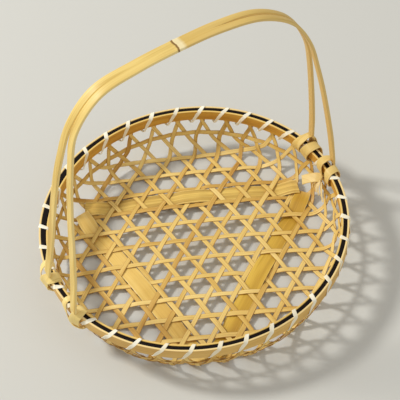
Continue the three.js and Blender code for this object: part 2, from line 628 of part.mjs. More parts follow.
function toManifold(geometry) {
  return new Manifold(new wasm.Mesh({
    numProp: 3,
    vertProperties: new Float32Array(geometry.getAttribute('position').array),
    triVerts: new Uint32Array(geometry.getIndex().array),
  }));
}
function fromManifold(solid) {
  const mesh = solid.getMesh();
  const geometry = new THREE.BufferGeometry();
  const positions = new Float32Array(mesh.numVert * 3);
  for (let i = 0; i < mesh.numVert; i += 1) {
    for (let k = 0; k < 3; k += 1) positions[3 * i + k] = mesh.vertProperties[mesh.numProp * i + k];
  }
  geometry.setAttribute('position', new THREE.Float32BufferAttribute(positions, 3));
  geometry.setIndex(Array.from(mesh.triVerts));
  geometry.computeVertexNormals();
  return geometry;
}

function handleGeometry() {
  const halves = [1, -1].map((back) => toManifold(handleHalf(back, findTie(-1, back), findTie(1, back))));
  // the low ridge of the bamboo's own node, right across the band
  const ridge = [[-0.5, 0.2], [-0.25, 1], [0.25, 1], [0.5, 0.2]].map(([along, height]) => {
    const u = CULM_AT + (along * CULM_LENGTH) / handleCurve.getLength();
    return {
      p: handleCurve.getPointAt(u), n: bandNormal(u), thin: true,
      w: 2 * HALF_BAND + LEG_WIDTH + CULM_RIDGE, t: LEG_THICK + 2 * CULM_RIDGE * height,
    };
  });
  return fromManifold(Manifold.union([...halves, toManifold(stripThrough(ridge))]));
}

// the object
const BAMBOO = 0xe0bd69;
const BAMBOO_SLAT = 0xdcb45a;
const BAMBOO_INNER = 0xbe872d;
const BAMBOO_OUTER = 0xc8a55f;
const BAMBOO_PALE = 0xf0d78c;
const CANE = 0xf5ebcd;
const DARK = 0x190c05;

const basket = new THREE.Group();
function addPart(name, geometry, color, roughness) {
  const material = new THREE.MeshStandardMaterial({ color, roughness, metalness: 0 });
  const mesh = new THREE.Mesh(geometry, material);
  mesh.name = name;
  basket.add(mesh);
}

strips.forEach((strip, i) => {
  const number = String((i % STRIPS_PER_WAY) + 1).padStart(2, '0');
  addPart(`weave_${'abc'[strip.family]}_${number}`, stripGeometry(strip), BAMBOO, 0.55);
});
addPart('wall_ring_strip', ringGeometry(), BAMBOO, 0.55);
['back', 'left', 'right'].forEach((name, i) =>
  addPart(`base_slat_${name}`, slatGeometry(slatDirections[i]), BAMBOO_SLAT, 0.5));
addPart('inner_hoop', hoop(IN_FACE, IN_FACE + HOOP_THICK, HOOP_LOW, RIM_TOP), BAMBOO_INNER, 0.5);
addPart('outer_hoop', hoop(OUT_FACE - HOOP_THICK, OUT_FACE, HOOP_LOW, RIM_TOP), BAMBOO_OUTER, 0.5);
addPart('rim_filler', hoop(RIM_RADIUS - SLOT / 2 + FILLER_GAP, RIM_RADIUS + SLOT / 2 - FILLER_GAP,
  FILLER_LOW, RIM_TOP + FILLER_PROUD), DARK, 0.45);
addPart('rim_lacing', lacingGeometry(), CANE, 0.5);
addPart('handle', handleGeometry(), BAMBOO_PALE, 0.45);

export default basket;
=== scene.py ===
# Bamboo tempura basket: its looks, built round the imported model. Paths are worked out in
# millimetres with the model's own sizes and become metres when a mesh is made.
import json
import math
import random

import bpy
import numpy as np
from mathutils import Matrix, Vector

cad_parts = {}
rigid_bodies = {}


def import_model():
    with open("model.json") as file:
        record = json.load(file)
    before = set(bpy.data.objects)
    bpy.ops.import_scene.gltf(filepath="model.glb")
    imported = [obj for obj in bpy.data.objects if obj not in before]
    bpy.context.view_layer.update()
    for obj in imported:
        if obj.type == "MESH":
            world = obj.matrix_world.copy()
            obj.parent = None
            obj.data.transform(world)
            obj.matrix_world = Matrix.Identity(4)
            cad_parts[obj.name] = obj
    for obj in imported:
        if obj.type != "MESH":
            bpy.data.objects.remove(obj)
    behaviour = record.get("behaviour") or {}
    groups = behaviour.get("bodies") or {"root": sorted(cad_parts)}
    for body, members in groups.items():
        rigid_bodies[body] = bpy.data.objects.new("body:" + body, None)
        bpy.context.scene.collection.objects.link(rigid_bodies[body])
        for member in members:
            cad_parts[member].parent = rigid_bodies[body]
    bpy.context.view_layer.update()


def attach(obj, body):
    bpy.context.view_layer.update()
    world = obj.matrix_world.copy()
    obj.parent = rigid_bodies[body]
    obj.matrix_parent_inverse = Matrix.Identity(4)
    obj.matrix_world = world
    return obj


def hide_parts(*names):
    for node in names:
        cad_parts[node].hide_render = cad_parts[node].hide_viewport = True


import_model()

MM = 0.001
TINY = 1e-9
LUCK_MOST = 10             # how far the grain of a piece may be shifted
rng = random.Random(21)

# woven strips
STRIPS_PER_WAY = 12
WAYS_APART = 60            # degrees between the three ways of the weave
STRIP_WIDTH, WALL_STRIP_WIDTH, RING_WIDTH = 3.4, 3, 3.2
STRIP_THICK = 0.38
MODEL_STRIP_THICK = 0.4
CROSS_GAP, WALL_CROSS_GAP, RING_EXTRA = 0.25, 0.55, 0.1
RISE_PART = 0.62           # real crossings lie closer than the model's clearances allow
WIDTH_LUCK, WANDER = 0.05, 0.3
WAVE_LENGTH, WAVE_TURN = (18, 34), (0, 6.3)
WANDER_FROM = (10, 30)     # distances from a strip's middle where its wander starts and is full
WANDER_LEAST_RADIUS = 20
WEAVE_TURN = -27.5

# bowl
WALL_RUN, DOME, EDGE_ROW_BEYOND = 17.1, 5.35, 2.64
BEND_RADIUS, TOP_BEND_RADIUS = 11, 18
UPRIGHT_BELOW, RING_BELOW, APEX_ABOVE = 3.35, 13.3, 9.1
WALL_TWIST = 2.5
WALL_LEAN_RANGE = (30, 89)
STRIP_END_GAP = 1.9

# rim
RIM_RADIUS, RIM_TOP = 102.1, 36.5
HOOP_THICK, HOOP_HEIGHT, SLOT_EASE = 1.4, 8.4, 0.6
HOOP_SHAVED = 0.1          # off the side of each hoop that faces the slot
INNER_SEAM, OUTER_SEAM, FILLER_SEAM = 1.2, 2.4, 1.9
FILLER_HEIGHT, FILLER_PROUD, FILLER_DEEP, FILLER_PRESSED = 1.8, 0.1, 0.3, 0.05
BULGE, BULGE_AT, BULGE_REACH = 0.75, 132, 45     # the hoops part here, at the left of the back

# lacing
LACE_WIDTH, LACE_THICK = 2.7, 0.45
LACE_IN_LOW, LACE_IN_TOP, LACE_OUT_TOP, LACE_OUT_LOW = -0.08, 0.3, 0.45, 0.77
LACE_ASTRAY, LACE_UNEVEN = 0.03, 0.1
LACE_DRIFT, LACE_DRIFT_MOST = 0.07, 240
MODEL_LACE_GAP, MODEL_LACE_THICK, MODEL_TIE_GAP = 0.4, 0.5, 0.55
LACE_GAP, LACE_DIP, LACE_LOW_PART = -0.1, 2.8, 0.62
# where the laces stand off their places: direction, reach, and shift to the left in openings
LACE_SHIFTS = ((132, 38, 0.1), (70, 50, -0.13))

# base slats
SLAT_WIDTH, SLAT_THICK, SLAT_GAP, SLAT_ROW, SLAT_SAG = 12, 0.9, 0.18, 3, 1.1
SLAT_UNDER, SLAT_EASE, SLAT_BEYOND, SLAT_LAP_GAP, FOOT_LENGTH = 3, 0.6, 3.4, 0.6, 9
SLAT_SHAVED = 0.2

# handle and the tied ends of its legs
HANDLE_TOP, HANDLE_START = 204.4, 5
LEG_WIDTH, RIGHT_LEG_WIDTH, LEG_THICK, LEG_FOOT_THICK, HALF_BAND = 5.6, 4.7, 2, 1.5, 2.2
LEFT_LEG_EXTRA, RIGHT_LEG_EXTRA, TIED_TONE = 1.2, 0.7, 1.6
HANDLE_TONE, HANDLE_LUCK = 0.2, 3.3
# the handle's curve, from its left feet and from its top: parts of the feet's distance from the
# middle, and of the height from the legs' start to the top
LEFT_ARCH = [
    (0.985, 0), (0.93, 0.17), (0.84, 0.51), (0.78, 0.68), (0.69, 0.85), (0.51, 0.967), (0.24, 0.996),
]
RIGHT_ARCH = [
    (0.03, 1), (0.3, 0.99), (0.56, 0.95), (0.77, 0.847), (0.89, 0.695), (0.94, 0.52), (0.985, 0.17),
    (0.99, 0),
]
# places along the curve, from 0 at the left feet to 1 at the right ones
CULM_AT = 0.496
LEFT_SLIT, RIGHT_SLIT = (0.32, 0.46), (0.52, 0.62)
LEFT_SPREAD, RIGHT_SPREAD = 0.3, 0.785
FOOT_THINNED = 0.06
HALF_SLIT, CULM_RIDGE, CULM_REACH = 1, 0.45, 1
LEG_CURVE = 0.8
TAIL_THICK, MODEL_FOOT_PROUD = 0.7, 0.5
SPREAD_SOFTENED = 500
FLAT_END_FACE = (-0.5, 0.85)       # how far the loose end's face looks outwards and upwards
# Each leg's end is wound round the rim. Its path: place from the middle of the opening nearest to
# a direction, in openings to the left as seen from the inside; distance out from the middle of the
# rim; height above its top; width; and where its face leans to the left, by how many degrees. The
# last flat_end points are a loose end that lies flat.
LASHINGS = {
    (1, 1): dict(near=10, leg=-0.3, path=[
        (-0.3, 5.2, 3.6, 5), (-0.27, 4.8, -1, 5), (-0.2, 4.2, -5.2, 5), (-0.14, 3.4, -9.4, 5.2),
        (-0.02, 0, -10.2, 5.4), (0.14, -3.4, -9.4, 6.2), (0.12, -4.4, -5, 7.2), (0.04, -4.2, -1, 7.4, 8),
        (-0.04, -2.6, 2.2, 7.6, 14), (-0.12, 1, 4.2, 7.6, 16), (-0.2, 4.4, 5.6, 7.4, 12),
        (-0.27, 6.4, 4, 7, 6), (-0.35, 6.6, -0.4, 6.4), (-0.44, 6.3, -4, 6.2), (-0.5, 5.2, -9, 5.8),
        (-0.56, 0, -11.2, 5.6), (-0.42, -4, -10.2, 6.2), (-0.36, -4.9, -6, 6.8),
        (-0.46, -4.7, -1.6, 7, -8), (-0.56, -2.8, 1.7, 7, -10), (-0.62, 1, 2.6, 6.6, -10),
        (-0.62, 4.6, 1.8, 6.2, -10), (-0.62, 6.1, -1.6, 6), (-0.66, 6.1, -6, 5.6), (-0.7, 5, -10.6, 5.2),
        (-0.7, 1, -12.4, 5),
    ]),
    (1, -1): dict(near=0, leg=-0.69, flat_end=4, path=[
        (-0.69, 4.4, 3.6, 4.8), (-0.7, 4.4, -1, 4.8), (-0.73, 4.2, -5.2, 4.8), (-0.7, 3.4, -9.4, 5),
        (-0.6, 0, -10.2, 5.2), (-0.46, -3.4, -9.4, 6.2), (-0.44, -4.3, -5, 7.2),
        (-0.42, -4.1, -1, 7.4, 8), (-0.42, -2.5, 2.2, 7.4, 14), (-0.45, 1.2, 3.4, 7.4, 16),
        (-0.52, 4.2, 3.6, 7, 8), (-0.61, 5.1, 2, 6.6), (-0.74, 5.3, -1.4, 6.2), (-0.88, 5.3, -5, 6),
        (-0.94, 4.4, -9.6, 5.6), (-1.02, 0, -11.2, 5.4), (-1.1, -4, -9.4, 5.6), (-1.13, -4.8, -5, 6),
        (-1.1, -4.4, -1, 6), (-1.06, -2.6, 1.8, 6, -8), (-1.02, 1.2, 2.4, 5.8, -8),
        (-0.98, 4.2, 1.6, 5.8, -5), (-0.98, 5.5, -1.8, 5.6), (-0.98, 5.5, -6, 5.6),
        (-0.94, 4.6, -10.6, 5.6), (-0.84, 0, -12.2, 6), (-0.66, -3.8, -10.4, 6.6),
        (-0.46, -7.6, -11.4, 7), (-0.22, -11.6, -14, 7), (-0.06, -14.6, -16.4, 7),
    ]),
    (-1, 1): dict(near=170, leg=0.22, path=[
        (0.16, 2.3, 3.6, 4.8), (0.16, 3.8, -1.5, 4.8), (0.14, 3.9, -5.5, 4.8), (0.1, 3.2, -9.4, 4.8),
        (0, 0, -10.2, 4.8), (-0.12, -3.3, -9.2, 4.8), (-0.25, -3.9, -5, 4.8), (-0.36, -3.7, -1, 4.8),
        (-0.42, -2.2, 1.4, 4.6), (-0.46, 1.4, 1.8, 4.4), (-0.46, 4.2, -1, 4), (-0.36, 5.9, -3.6, 3.4),
        (-0.2, 6.6, -5.5, 3.2), (-0.02, 6, -7, 3.2), (0.12, 5, -9.6, 4), (0.22, 2.6, -11.4, 4.6),
        (0.3, -1, -11.6, 5), (0.33, -4, -10, 5.6), (0.35, -4.7, -5.5, 6.4), (0.35, -4.4, -1, 6.8, 8),
        (0.35, -2.6, 1.6, 7.2, 15), (0.34, 1.2, 2.3, 7.4, 24), (0.26, 4.2, 1.6, 7.4, 28),
        (0.13, 5.8, -1.4, 7.4, 28), (0.05, 6.3, -5, 7.4, 22), (0.04, 6.2, -9, 7, 15),
        (0.08, 4.6, -11.8, 6), (0.12, 2, -12.6, 5),
    ]),
    (-1, -1): dict(near=190, leg=0.13, path=[
        (0.03, 3.6, 3.6, 5.2), (0.05, 3.9, -1.5, 5.2), (0.06, 3.9, -5.5, 5.2), (0.08, 3.2, -9.4, 5.2),
        (0.1, 0, -10.2, 5.2), (0.12, -3.3, -9.2, 5.4), (0.15, -3.9, -5, 6), (0.18, -3.8, -1, 6.6),
        (0.2, -2.3, 1.7, 7.2, 10), (0.24, 1.2, 2.4, 7.4, 20), (0.25, 4.2, 1.4, 7.4, 25),
        (0.18, 5.6, -1.6, 7.6, 25), (0.13, 6.1, -5.4, 7.6, 20), (0.13, 5.8, -9.4, 7, 12),
        (0.12, 4, -11.4, 6), (0.05, 0, -11.8, 5.4), (-0.1, -3.9, -10.4, 5), (-0.3, -4.7, -6, 4.8),
        (-0.44, -4.2, -1, 4.6), (-0.5, -2, 1.6, 4.4), (-0.54, 1.6, 2, 4.2), (-0.54, 3.8, -0.8, 3.8),
        (-0.46, 4.4, -3.6, 3.2), (-0.34, 5, -7, 3), (-0.18, 5.4, -10.2, 3), (0.05, 5.2, -12.4, 3),
        (0.3, 2.8, -13.2, 3.2), (0.38, -0.6, -12.6, 3.6),
    ]),
}
# torn fibres under the loose end: place, out and up, as above, of both ends of the first one, and
# the change from it to the last one
FIBRE_COUNT, FIBRE_POINTS = 11, 12
FIBRE_TOP, FIBRE_TOP_CHANGE = (-0.52, -6.2, -12), (-0.34, 0, 2)
FIBRE_TIP, FIBRE_TIP_CHANGE = (-0.5, -11, -20.5), (-0.85, 2.5, 0)
FIBRE_THICK, FIBRE_TAPER, FIBRE_BOW = 0.25, 0.35, (0.3, 1.6)
FIBRE_WIDTHS = (0.5, 0.6, 0.8, 1.3, 1.8)
FIBRE_PLACE_LUCK, FIBRE_OUT_LUCK, FIBRE_LUCK, FIBRE_TIP_LUCK = (-0.08, 0.08), (0, 1.2), (-1, 1), (-1.5, 3)

# fineness of the paths
TRACE_STEP = 0.25
SAMPLE_STEP = 1.2
FINE_STEP = 1.0
LEVEL_EXTRA, SLOPE_LEAST, END_LEAST = 0.2, 0.9, 0.4
LEVEL_PART = 0.45          # a real strip is level over less of a crossing than the model's
RING_POINTS, HOOP_POINTS, SLAT_POINTS, ARCH_POINTS, SPAN_POINTS = 600, 300, 220, 900, 60
HANDLE_EVERY = 3           # the handle's path takes every third point of its curve
HANDLE_STEP, LACE_STEP = 0.5, 0.4
HANDLE_SOFTENED, LACE_SOFTENED, SLAT_SOFTENED = 8, 4, 5
# sections: points, and edges, where an ellipse is 1 and a box is 0
PROFILE, PLAIN_PROFILE, FIBRE_PROFILE = 16, 12, 8
EDGE_ROUND, SQUARE_ROUND, SOFT_ROUND, FIBRE_ROUND = 0.25, 0.12, 0.3, 0.4
SHARP_ANGLE = 50
HALVINGS = 40

# worked out from the sizes above
WALL_CELLS = 3 * STRIPS_PER_WAY
CELL = 2 * math.pi / WALL_CELLS
LEAN = CELL / 4 / APEX_ABOVE
END_DRIFT = CELL / 7       # from the tips of the openings to a strip's end
BASE_RADIUS = RIM_RADIUS - WALL_RUN
ROW = (BASE_RADIUS + EDGE_ROW_BEYOND) / (STRIPS_PER_WAY / 2 - 0.5)
WEAVE_RISE = (MODEL_STRIP_THICK + CROSS_GAP) / 2
WALL_RISE = (MODEL_STRIP_THICK + WALL_CROSS_GAP) / 2
RING_RISE = WALL_RISE + RING_EXTRA
SLOT = 2 * WALL_RISE + MODEL_STRIP_THICK + 2 * SLOT_EASE
HOOP_LOW = RIM_TOP - HOOP_HEIGHT
IN_FACE = RIM_RADIUS - SLOT / 2 - HOOP_THICK
OUT_FACE = RIM_RADIUS + SLOT / 2 + HOOP_THICK
FILLER_LOW = RIM_TOP + FILLER_PROUD - FILLER_HEIGHT
HALF_WEAVE = WEAVE_RISE + MODEL_STRIP_THICK / 2
EDGE_SLOPE = -math.atan(2 * DOME / BASE_RADIUS)
PITCH = 2 * ROW / math.sqrt(3)
CROSS_ANGLE = math.radians(WAYS_APART)
CROSS_REACH = SLAT_WIDTH / 2 / math.tan(CROSS_ANGLE) + STRIP_WIDTH / 2 / math.sin(CROSS_ANGLE)
SLAT_OVER = CROSS_REACH + SLAT_EASE
UNDER_START = PITCH - CROSS_REACH
FOOT_END = SLAT_UNDER * PITCH + CROSS_REACH
END_START = (SLAT_UNDER + 1) * PITCH - SLAT_OVER
LAP_START = (SLAT_ROW * ROW * math.tan(CROSS_ANGLE) - SLAT_EASE
             - SLAT_WIDTH / 2 * (1 + math.cos(CROSS_ANGLE)) / math.sin(CROSS_ANGLE))
SLAT_HALF = (SLAT_UNDER + 1) * PITCH + SLAT_BEYOND
FOOT_CORNER = math.hypot(FOOT_END, SLAT_ROW * ROW + SLAT_WIDTH / 2)
EDGE_HEIGHT = SLAT_THICK + SLAT_GAP + HALF_WEAVE - DOME * (1 - (FOOT_CORNER / BASE_RADIUS) ** 2)


def step(low, high, value):
    t = np.clip((value - low) / (high - low), 0, 1)
    return t * t * (3 - 2 * t)


def unit(vectors):
    return vectors / np.maximum(np.linalg.norm(vectors, axis=-1, keepdims=True), TINY)


def lengths_along(points):
    """How far along a line each of its points lies."""
    return np.concatenate([[0], np.cumsum(np.linalg.norm(np.diff(points, axis=0), axis=1))])


def by_axis(change, points):
    """The same change to each of the three columns of some points."""
    return np.stack([change(points[:, k]) for k in range(3)], axis=-1)


# bowl
def lean_of_wall():
    """The slope at which the wall, with both of its bends, just reaches the hoops."""
    rise = HOOP_LOW - UPRIGHT_BELOW - EDGE_HEIGHT
    low, high = (math.radians(angle) for angle in WALL_LEAN_RANGE)
    for _ in range(HALVINGS):
        lean = (low + high) / 2
        run = BEND_RADIUS * (math.sin(lean) - math.sin(EDGE_SLOPE)) + TOP_BEND_RADIUS * (1 - math.sin(lean))
        reached = (BEND_RADIUS * (math.cos(EDGE_SLOPE) - math.cos(lean)) + TOP_BEND_RADIUS * math.cos(lean)
                   + (WALL_RUN - run) * math.tan(lean))
        if reached > rise:
            high = lean
        else:
            low = lean
    return low


WALL_LEAN = lean_of_wall()


def trace_bowl():
    """Profile of the weave's middle surface: length, radius, height and slope."""
    points = []
    r = 0.0
    while r <= BASE_RADIUS:
        points.append((r, EDGE_HEIGHT + DOME * (1 - (r / BASE_RADIUS) ** 2),
                       -math.atan(2 * DOME * r / BASE_RADIUS ** 2)))
        r += TRACE_STEP
    r, z, a = points[-1]
    top_bend = TOP_BEND_RADIUS * (1 - math.sin(WALL_LEAN))
    parts = [
        (lambda: a < WALL_LEAN, BEND_RADIUS), (lambda: r < RIM_RADIUS - top_bend, math.inf),
        (lambda: a < math.pi / 2, TOP_BEND_RADIUS), (lambda: z < RIM_TOP, math.inf),
    ]
    for going, turn in parts:
        while going():
            a = min(math.pi / 2, a + TRACE_STEP / turn)
            r += TRACE_STEP * math.cos(a)
            z += TRACE_STEP * math.sin(a)
            points.append((r, z, a))
    points = np.array(points)
    rho = np.concatenate([[0], np.cumsum(np.hypot(*np.diff(points[:, :2], axis=0).T))])
    return rho, points


BOWL_RHO, BOWL = trace_bowl()


def bowl_at(rho):
    return tuple(np.interp(rho, BOWL_RHO, BOWL[:, k]) for k in range(3))


def on_bowl(rho, theta, lift=0.0):
    r, z, a = bowl_at(rho)
    radial = r - lift * np.sin(a)
    return np.stack([radial * np.cos(theta), radial * np.sin(theta), z + lift * np.cos(a)], axis=-1)


def bowl_normal(rho, theta):
    a = bowl_at(rho)[2]
    return np.stack([-np.sin(a) * np.cos(theta), -np.sin(a) * np.sin(theta), np.cos(a)], axis=-1)


def length_at_height(height):
    return BOWL_RHO[np.argmax((BOWL[:, 2] > 0) & (BOWL[:, 1] >= height))]


RHO_RING = length_at_height(HOOP_LOW - RING_BELOW)
RHO_APEX = RHO_RING + APEX_ABOVE
RHO_END = length_at_height(FILLER_LOW - STRIP_END_GAP)
EDGE_ZONE = BEND_RADIUS * (WALL_LEAN - EDGE_SLOPE) / 2


def width_at(rho):
    on_wall = step(BASE_RADIUS - EDGE_ZONE / 2, BASE_RADIUS + EDGE_ZONE, rho)
    return STRIP_WIDTH + (WALL_STRIP_WIDTH - STRIP_WIDTH) * on_wall


def rise_at(rho):
    return WEAVE_RISE + (WALL_RISE - WEAVE_RISE) * step(BASE_RADIUS - EDGE_ZONE, BASE_RADIUS, rho)


# woven strips
FAMILIES = [math.radians(WEAVE_TURN + WAYS_APART * f) for f in range(3)]
SLAT_DIRECTIONS = [math.radians(WEAVE_TURN + 90 + 2 * WAYS_APART * i) for i in range(3)]


class WovenStrip:
    """One strip: a straight line of the flat weave that drifts sideways as it climbs the wall."""

    def __init__(self, family, row):
        self.family = family
        self.offset = row * ROW
        self.d = abs(self.offset)
        self.outward = FAMILIES[family] + math.copysign(math.pi / 2, self.offset)
        self.at_ring = math.pi / 2 - CELL / 4 - math.floor(self.d / ROW) * CELL
        self.drift = self.at_ring - math.acos(self.d / RHO_RING)
        self.drift_slope = LEAN - self.d / (RHO_RING * math.sqrt(RHO_RING ** 2 - self.d ** 2))
        self.reach = math.sqrt(RHO_END ** 2 - self.d ** 2)
        self.s = np.linspace(-self.reach, self.reach, math.ceil(2 * self.reach / SAMPLE_STEP) + 1)
        rho, theta, _ = self.place(self.s)
        self.flat = np.stack([rho * np.cos(theta), rho * np.sin(theta)], axis=-1)
        self.crossings = []

    def place(self, s):
        rho = np.hypot(s, self.d)
        start = max(BASE_RADIUS, self.d)
        t = np.clip((rho - start) / (RHO_RING - start), 0, 1)
        low = (np.arccos(np.clip(self.d / rho, -1, 1)) + self.drift * t * t * (3 - 2 * t)
               + self.drift_slope * (RHO_RING - start) * (t ** 3 - t ** 2))
        middle = self.at_ring + LEAN * (rho - RHO_RING)
        high = self.at_ring + CELL / 4 + END_DRIFT * (rho - RHO_APEX) / (RHO_END - RHO_APEX)
        phi = np.where(rho <= RHO_RING, low, np.where(rho <= RHO_APEX, middle, high))
        falling = s * self.offset > 0
        twist = math.radians(WALL_TWIST) * step(BASE_RADIUS, RHO_RING, rho)
        return rho, self.outward + twist + np.where(falling, -phi, phi), falling


def meetings(one, two):
    """Where the middle lines of two strips meet, as distances along each, and at what angle."""
    a, b = one.flat[:-1, None], one.flat[1:, None]
    c, d = two.flat[None, :-1], two.flat[None, 1:]
    ab, cd, ac = b - a, d - c, c - a
    den = ab[..., 0] * cd[..., 1] - ab[..., 1] * cd[..., 0]
    den = np.where(np.abs(den) < TINY, np.nan, den)
    t = (ac[..., 0] * cd[..., 1] - ac[..., 1] * cd[..., 0]) / den
    u = (ac[..., 0] * ab[..., 1] - ac[..., 1] * ab[..., 0]) / den
    found = []
    for i, j in np.argwhere((t >= 0) & (t < 1) & (u >= 0) & (u < 1)):
        on_one = one.s[i] + t[i, j] * (one.s[i + 1] - one.s[i])
        on_two = two.s[j] + u[i, j] * (two.s[j + 1] - two.s[j])
        dot = float(ab[i, 0] @ cd[0, j])
        found.append((on_one, on_two, abs(math.atan2(den[i, j], dot))))
    return found


def sag_at(rho, theta):
    """How far the weave hangs under the slats, which pass over it at their middles."""
    sag = 0.0
    for direction in SLAT_DIRECTIONS:
        x = np.abs(rho * np.sin(theta - direction))
        y = np.abs(rho * np.cos(theta - direction) - SLAT_ROW * ROW)
        sag = sag - SLAT_SAG * (1 - step(SLAT_OVER, UNDER_START, x)) * (1 - step(ROW / 2, 1.5 * ROW, y))
    return sag


def find_crossings(strips):
    """Which strip is over at each crossing, and where the encircling strip crosses them."""
    for i, one in enumerate(strips):
        for two in strips[i + 1:]:
            for s1, s2, angle in meetings(one, two):
                rho, theta, falling = one.place(np.array(s1))
                over = (one.family + 2) % 3 == two.family
                if one.family == two.family:
                    over = not falling
                lift = (1 if over else -1) * float(rise_at(rho)) * RISE_PART
                sag = float(sag_at(rho, theta))
                one.crossings.append((s1, angle, sag + lift))
                two.crossings.append((s2, angle, sag - lift))
    lean_angle = math.atan(1 / (LEAN * float(bowl_at(RHO_RING)[0])))
    ring = []
    for strip in strips:
        for sign in (-1, 1):
            s = sign * math.sqrt(RHO_RING ** 2 - strip.d ** 2)
            _, theta, falling = strip.place(np.array(s))
            lift = (RING_RISE if falling else -RING_RISE) * RISE_PART
            strip.crossings.append((s, lean_angle, lift))
            ring.append((float(theta) % (2 * math.pi), -lift))
        strip.crossings.sort()
    return sorted(ring), lean_angle


def level_half(angle, rho):
    return float(width_at(rho)) / 2 * (1 + abs(math.cos(angle))) / math.sin(angle) + LEVEL_EXTRA


def eased(at, stops, lifts):
    """Heights between stops, joined by soft S curves."""
    i = np.clip(np.searchsorted(stops, at) - 1, 0, len(stops) - 2)
    t = np.clip((at - stops[i]) / np.maximum(stops[i + 1] - stops[i], TINY), 0, 1)
    return lifts[i] + (lifts[i + 1] - lifts[i]) * t * t * (3 - 2 * t)


def strip_stations(strip):
    """Points, normals and widths of a strip, level at each crossing and sloping from one to the next."""
    stops, lifts = [-strip.reach], [strip.crossings[0][2]]
    halves = [LEVEL_PART * level_half(angle, math.hypot(s, strip.d)) for s, angle, _ in strip.crossings]
    places = [c[0] for c in strip.crossings]
    for k, (s, _, lift) in enumerate(strip.crossings):
        for other, sign in ((k - 1, -1), (k + 1, 1)):
            if 0 <= other < len(places):
                room = abs(places[other] - s) - SLOPE_LEAST
                half = halves[k] * min(1, room / (halves[k] + halves[other]))
            else:
                half = min(halves[k], strip.reach - abs(s) - END_LEAST)
            stops.append(s + sign * half)
            lifts.append(lift)
    stops.append(strip.reach)
    lifts.append(strip.crossings[-1][2])
    s = np.linspace(-strip.reach, strip.reach, int(2 * strip.reach / FINE_STEP))
    rho, theta, _ = strip.place(s)
    lift = eased(s, np.array(stops), np.array(lifts))
    # hand-cut strips are never quite straight or even
    waves = [(rng.uniform(*WAVE_LENGTH), rng.uniform(*WAVE_TURN)) for _ in range(2)]
    astray = sum(WANDER / 2 * np.sin(s / length * math.pi + turn) for length, turn in waves)
    astray = astray * (1 - step(BASE_RADIUS, RHO_RING, rho)) / np.maximum(rho, WANDER_LEAST_RADIUS)
    theta = theta + astray * np.sign(s) * step(*WANDER_FROM, np.abs(s))
    uneven = 1 + WIDTH_LUCK * rng.uniform(-1, 1) + WIDTH_LUCK * np.sin(s / waves[0][0] + waves[1][1])
    return on_bowl(rho, theta, lift), bowl_normal(rho, theta), width_at(rho) * uneven


# sweeping a flat strip along a line
def way_frame(points, normals):
    """Sideways and face directions of a flat strip at each point."""
    ahead = np.vstack([points[1:], 2 * points[-1] - points[-2]])
    behind = np.vstack([2 * points[0] - points[1], points[:-1]])
    along = unit(ahead - behind)
    side = unit(np.cross(along, normals))
    return side, np.cross(side, along)


class Nodes:
    """A node tree under construction, with short ways to add its nodes and join them."""

    def __init__(self, tree):
        self.tree = tree

    def node(self, kind, links=(), **settings):
        node = self.tree.nodes.new(kind)
        for key, value in settings.items():
            setattr(node, key, value)
        for socket, source in dict(links).items():
            self.join(source, node.inputs[socket])
        return node

    def join(self, source, target):
        if isinstance(source, bpy.types.NodeSocket):
            self.tree.links.new(source, target)
        else:
            target.default_value = source

    def out(self, kind, links=(), **settings):
        return self.node(kind, links, **settings).outputs[0]

    def math(self, operation, *values):
        return self.out("ShaderNodeMath", enumerate(values), operation=operation)

    def times(self, one, two):
        return self.math("MULTIPLY", one, two)

    def vector(self, operation, *values):
        return self.out("ShaderNodeVectorMath", enumerate(values), operation=operation)


class Shaper(Nodes):
    """A Geometry Nodes tree with named inputs."""

    def __init__(self, name, inputs):
        super().__init__(bpy.data.node_groups.new(name, "GeometryNodeTree"))
        face = self.tree.interface
        self.ids = {}
        face.new_socket("Geometry", in_out="INPUT", socket_type="NodeSocketGeometry")
        for label, kind, value in inputs:
            socket = face.new_socket(label, in_out="INPUT", socket_type=kind)
            if value is not None:
                socket.default_value = value
            self.ids[label] = socket.identifier
        face.new_socket("Geometry", in_out="OUTPUT", socket_type="NodeSocketGeometry")
        self.input = self.tree.nodes.new("NodeGroupInput")
        self.output = self.tree.nodes.new("NodeGroupOutput")

    def scaled(self, vector, factor):
        return self.out("ShaderNodeVectorMath", {0: vector, 3: factor}, operation="SCALE")

    def carried(self, name, kind="FLOAT"):
        return self.out("GeometryNodeInputNamedAttribute", {0: name}, data_type=kind)

    def keep(self, geometry, name, value, kind="FLOAT"):
        links = {"Geometry": geometry, "Name": name, "Value": value}
        return self.out("GeometryNodeStoreNamedAttribute", links, data_type=kind, domain="POINT")


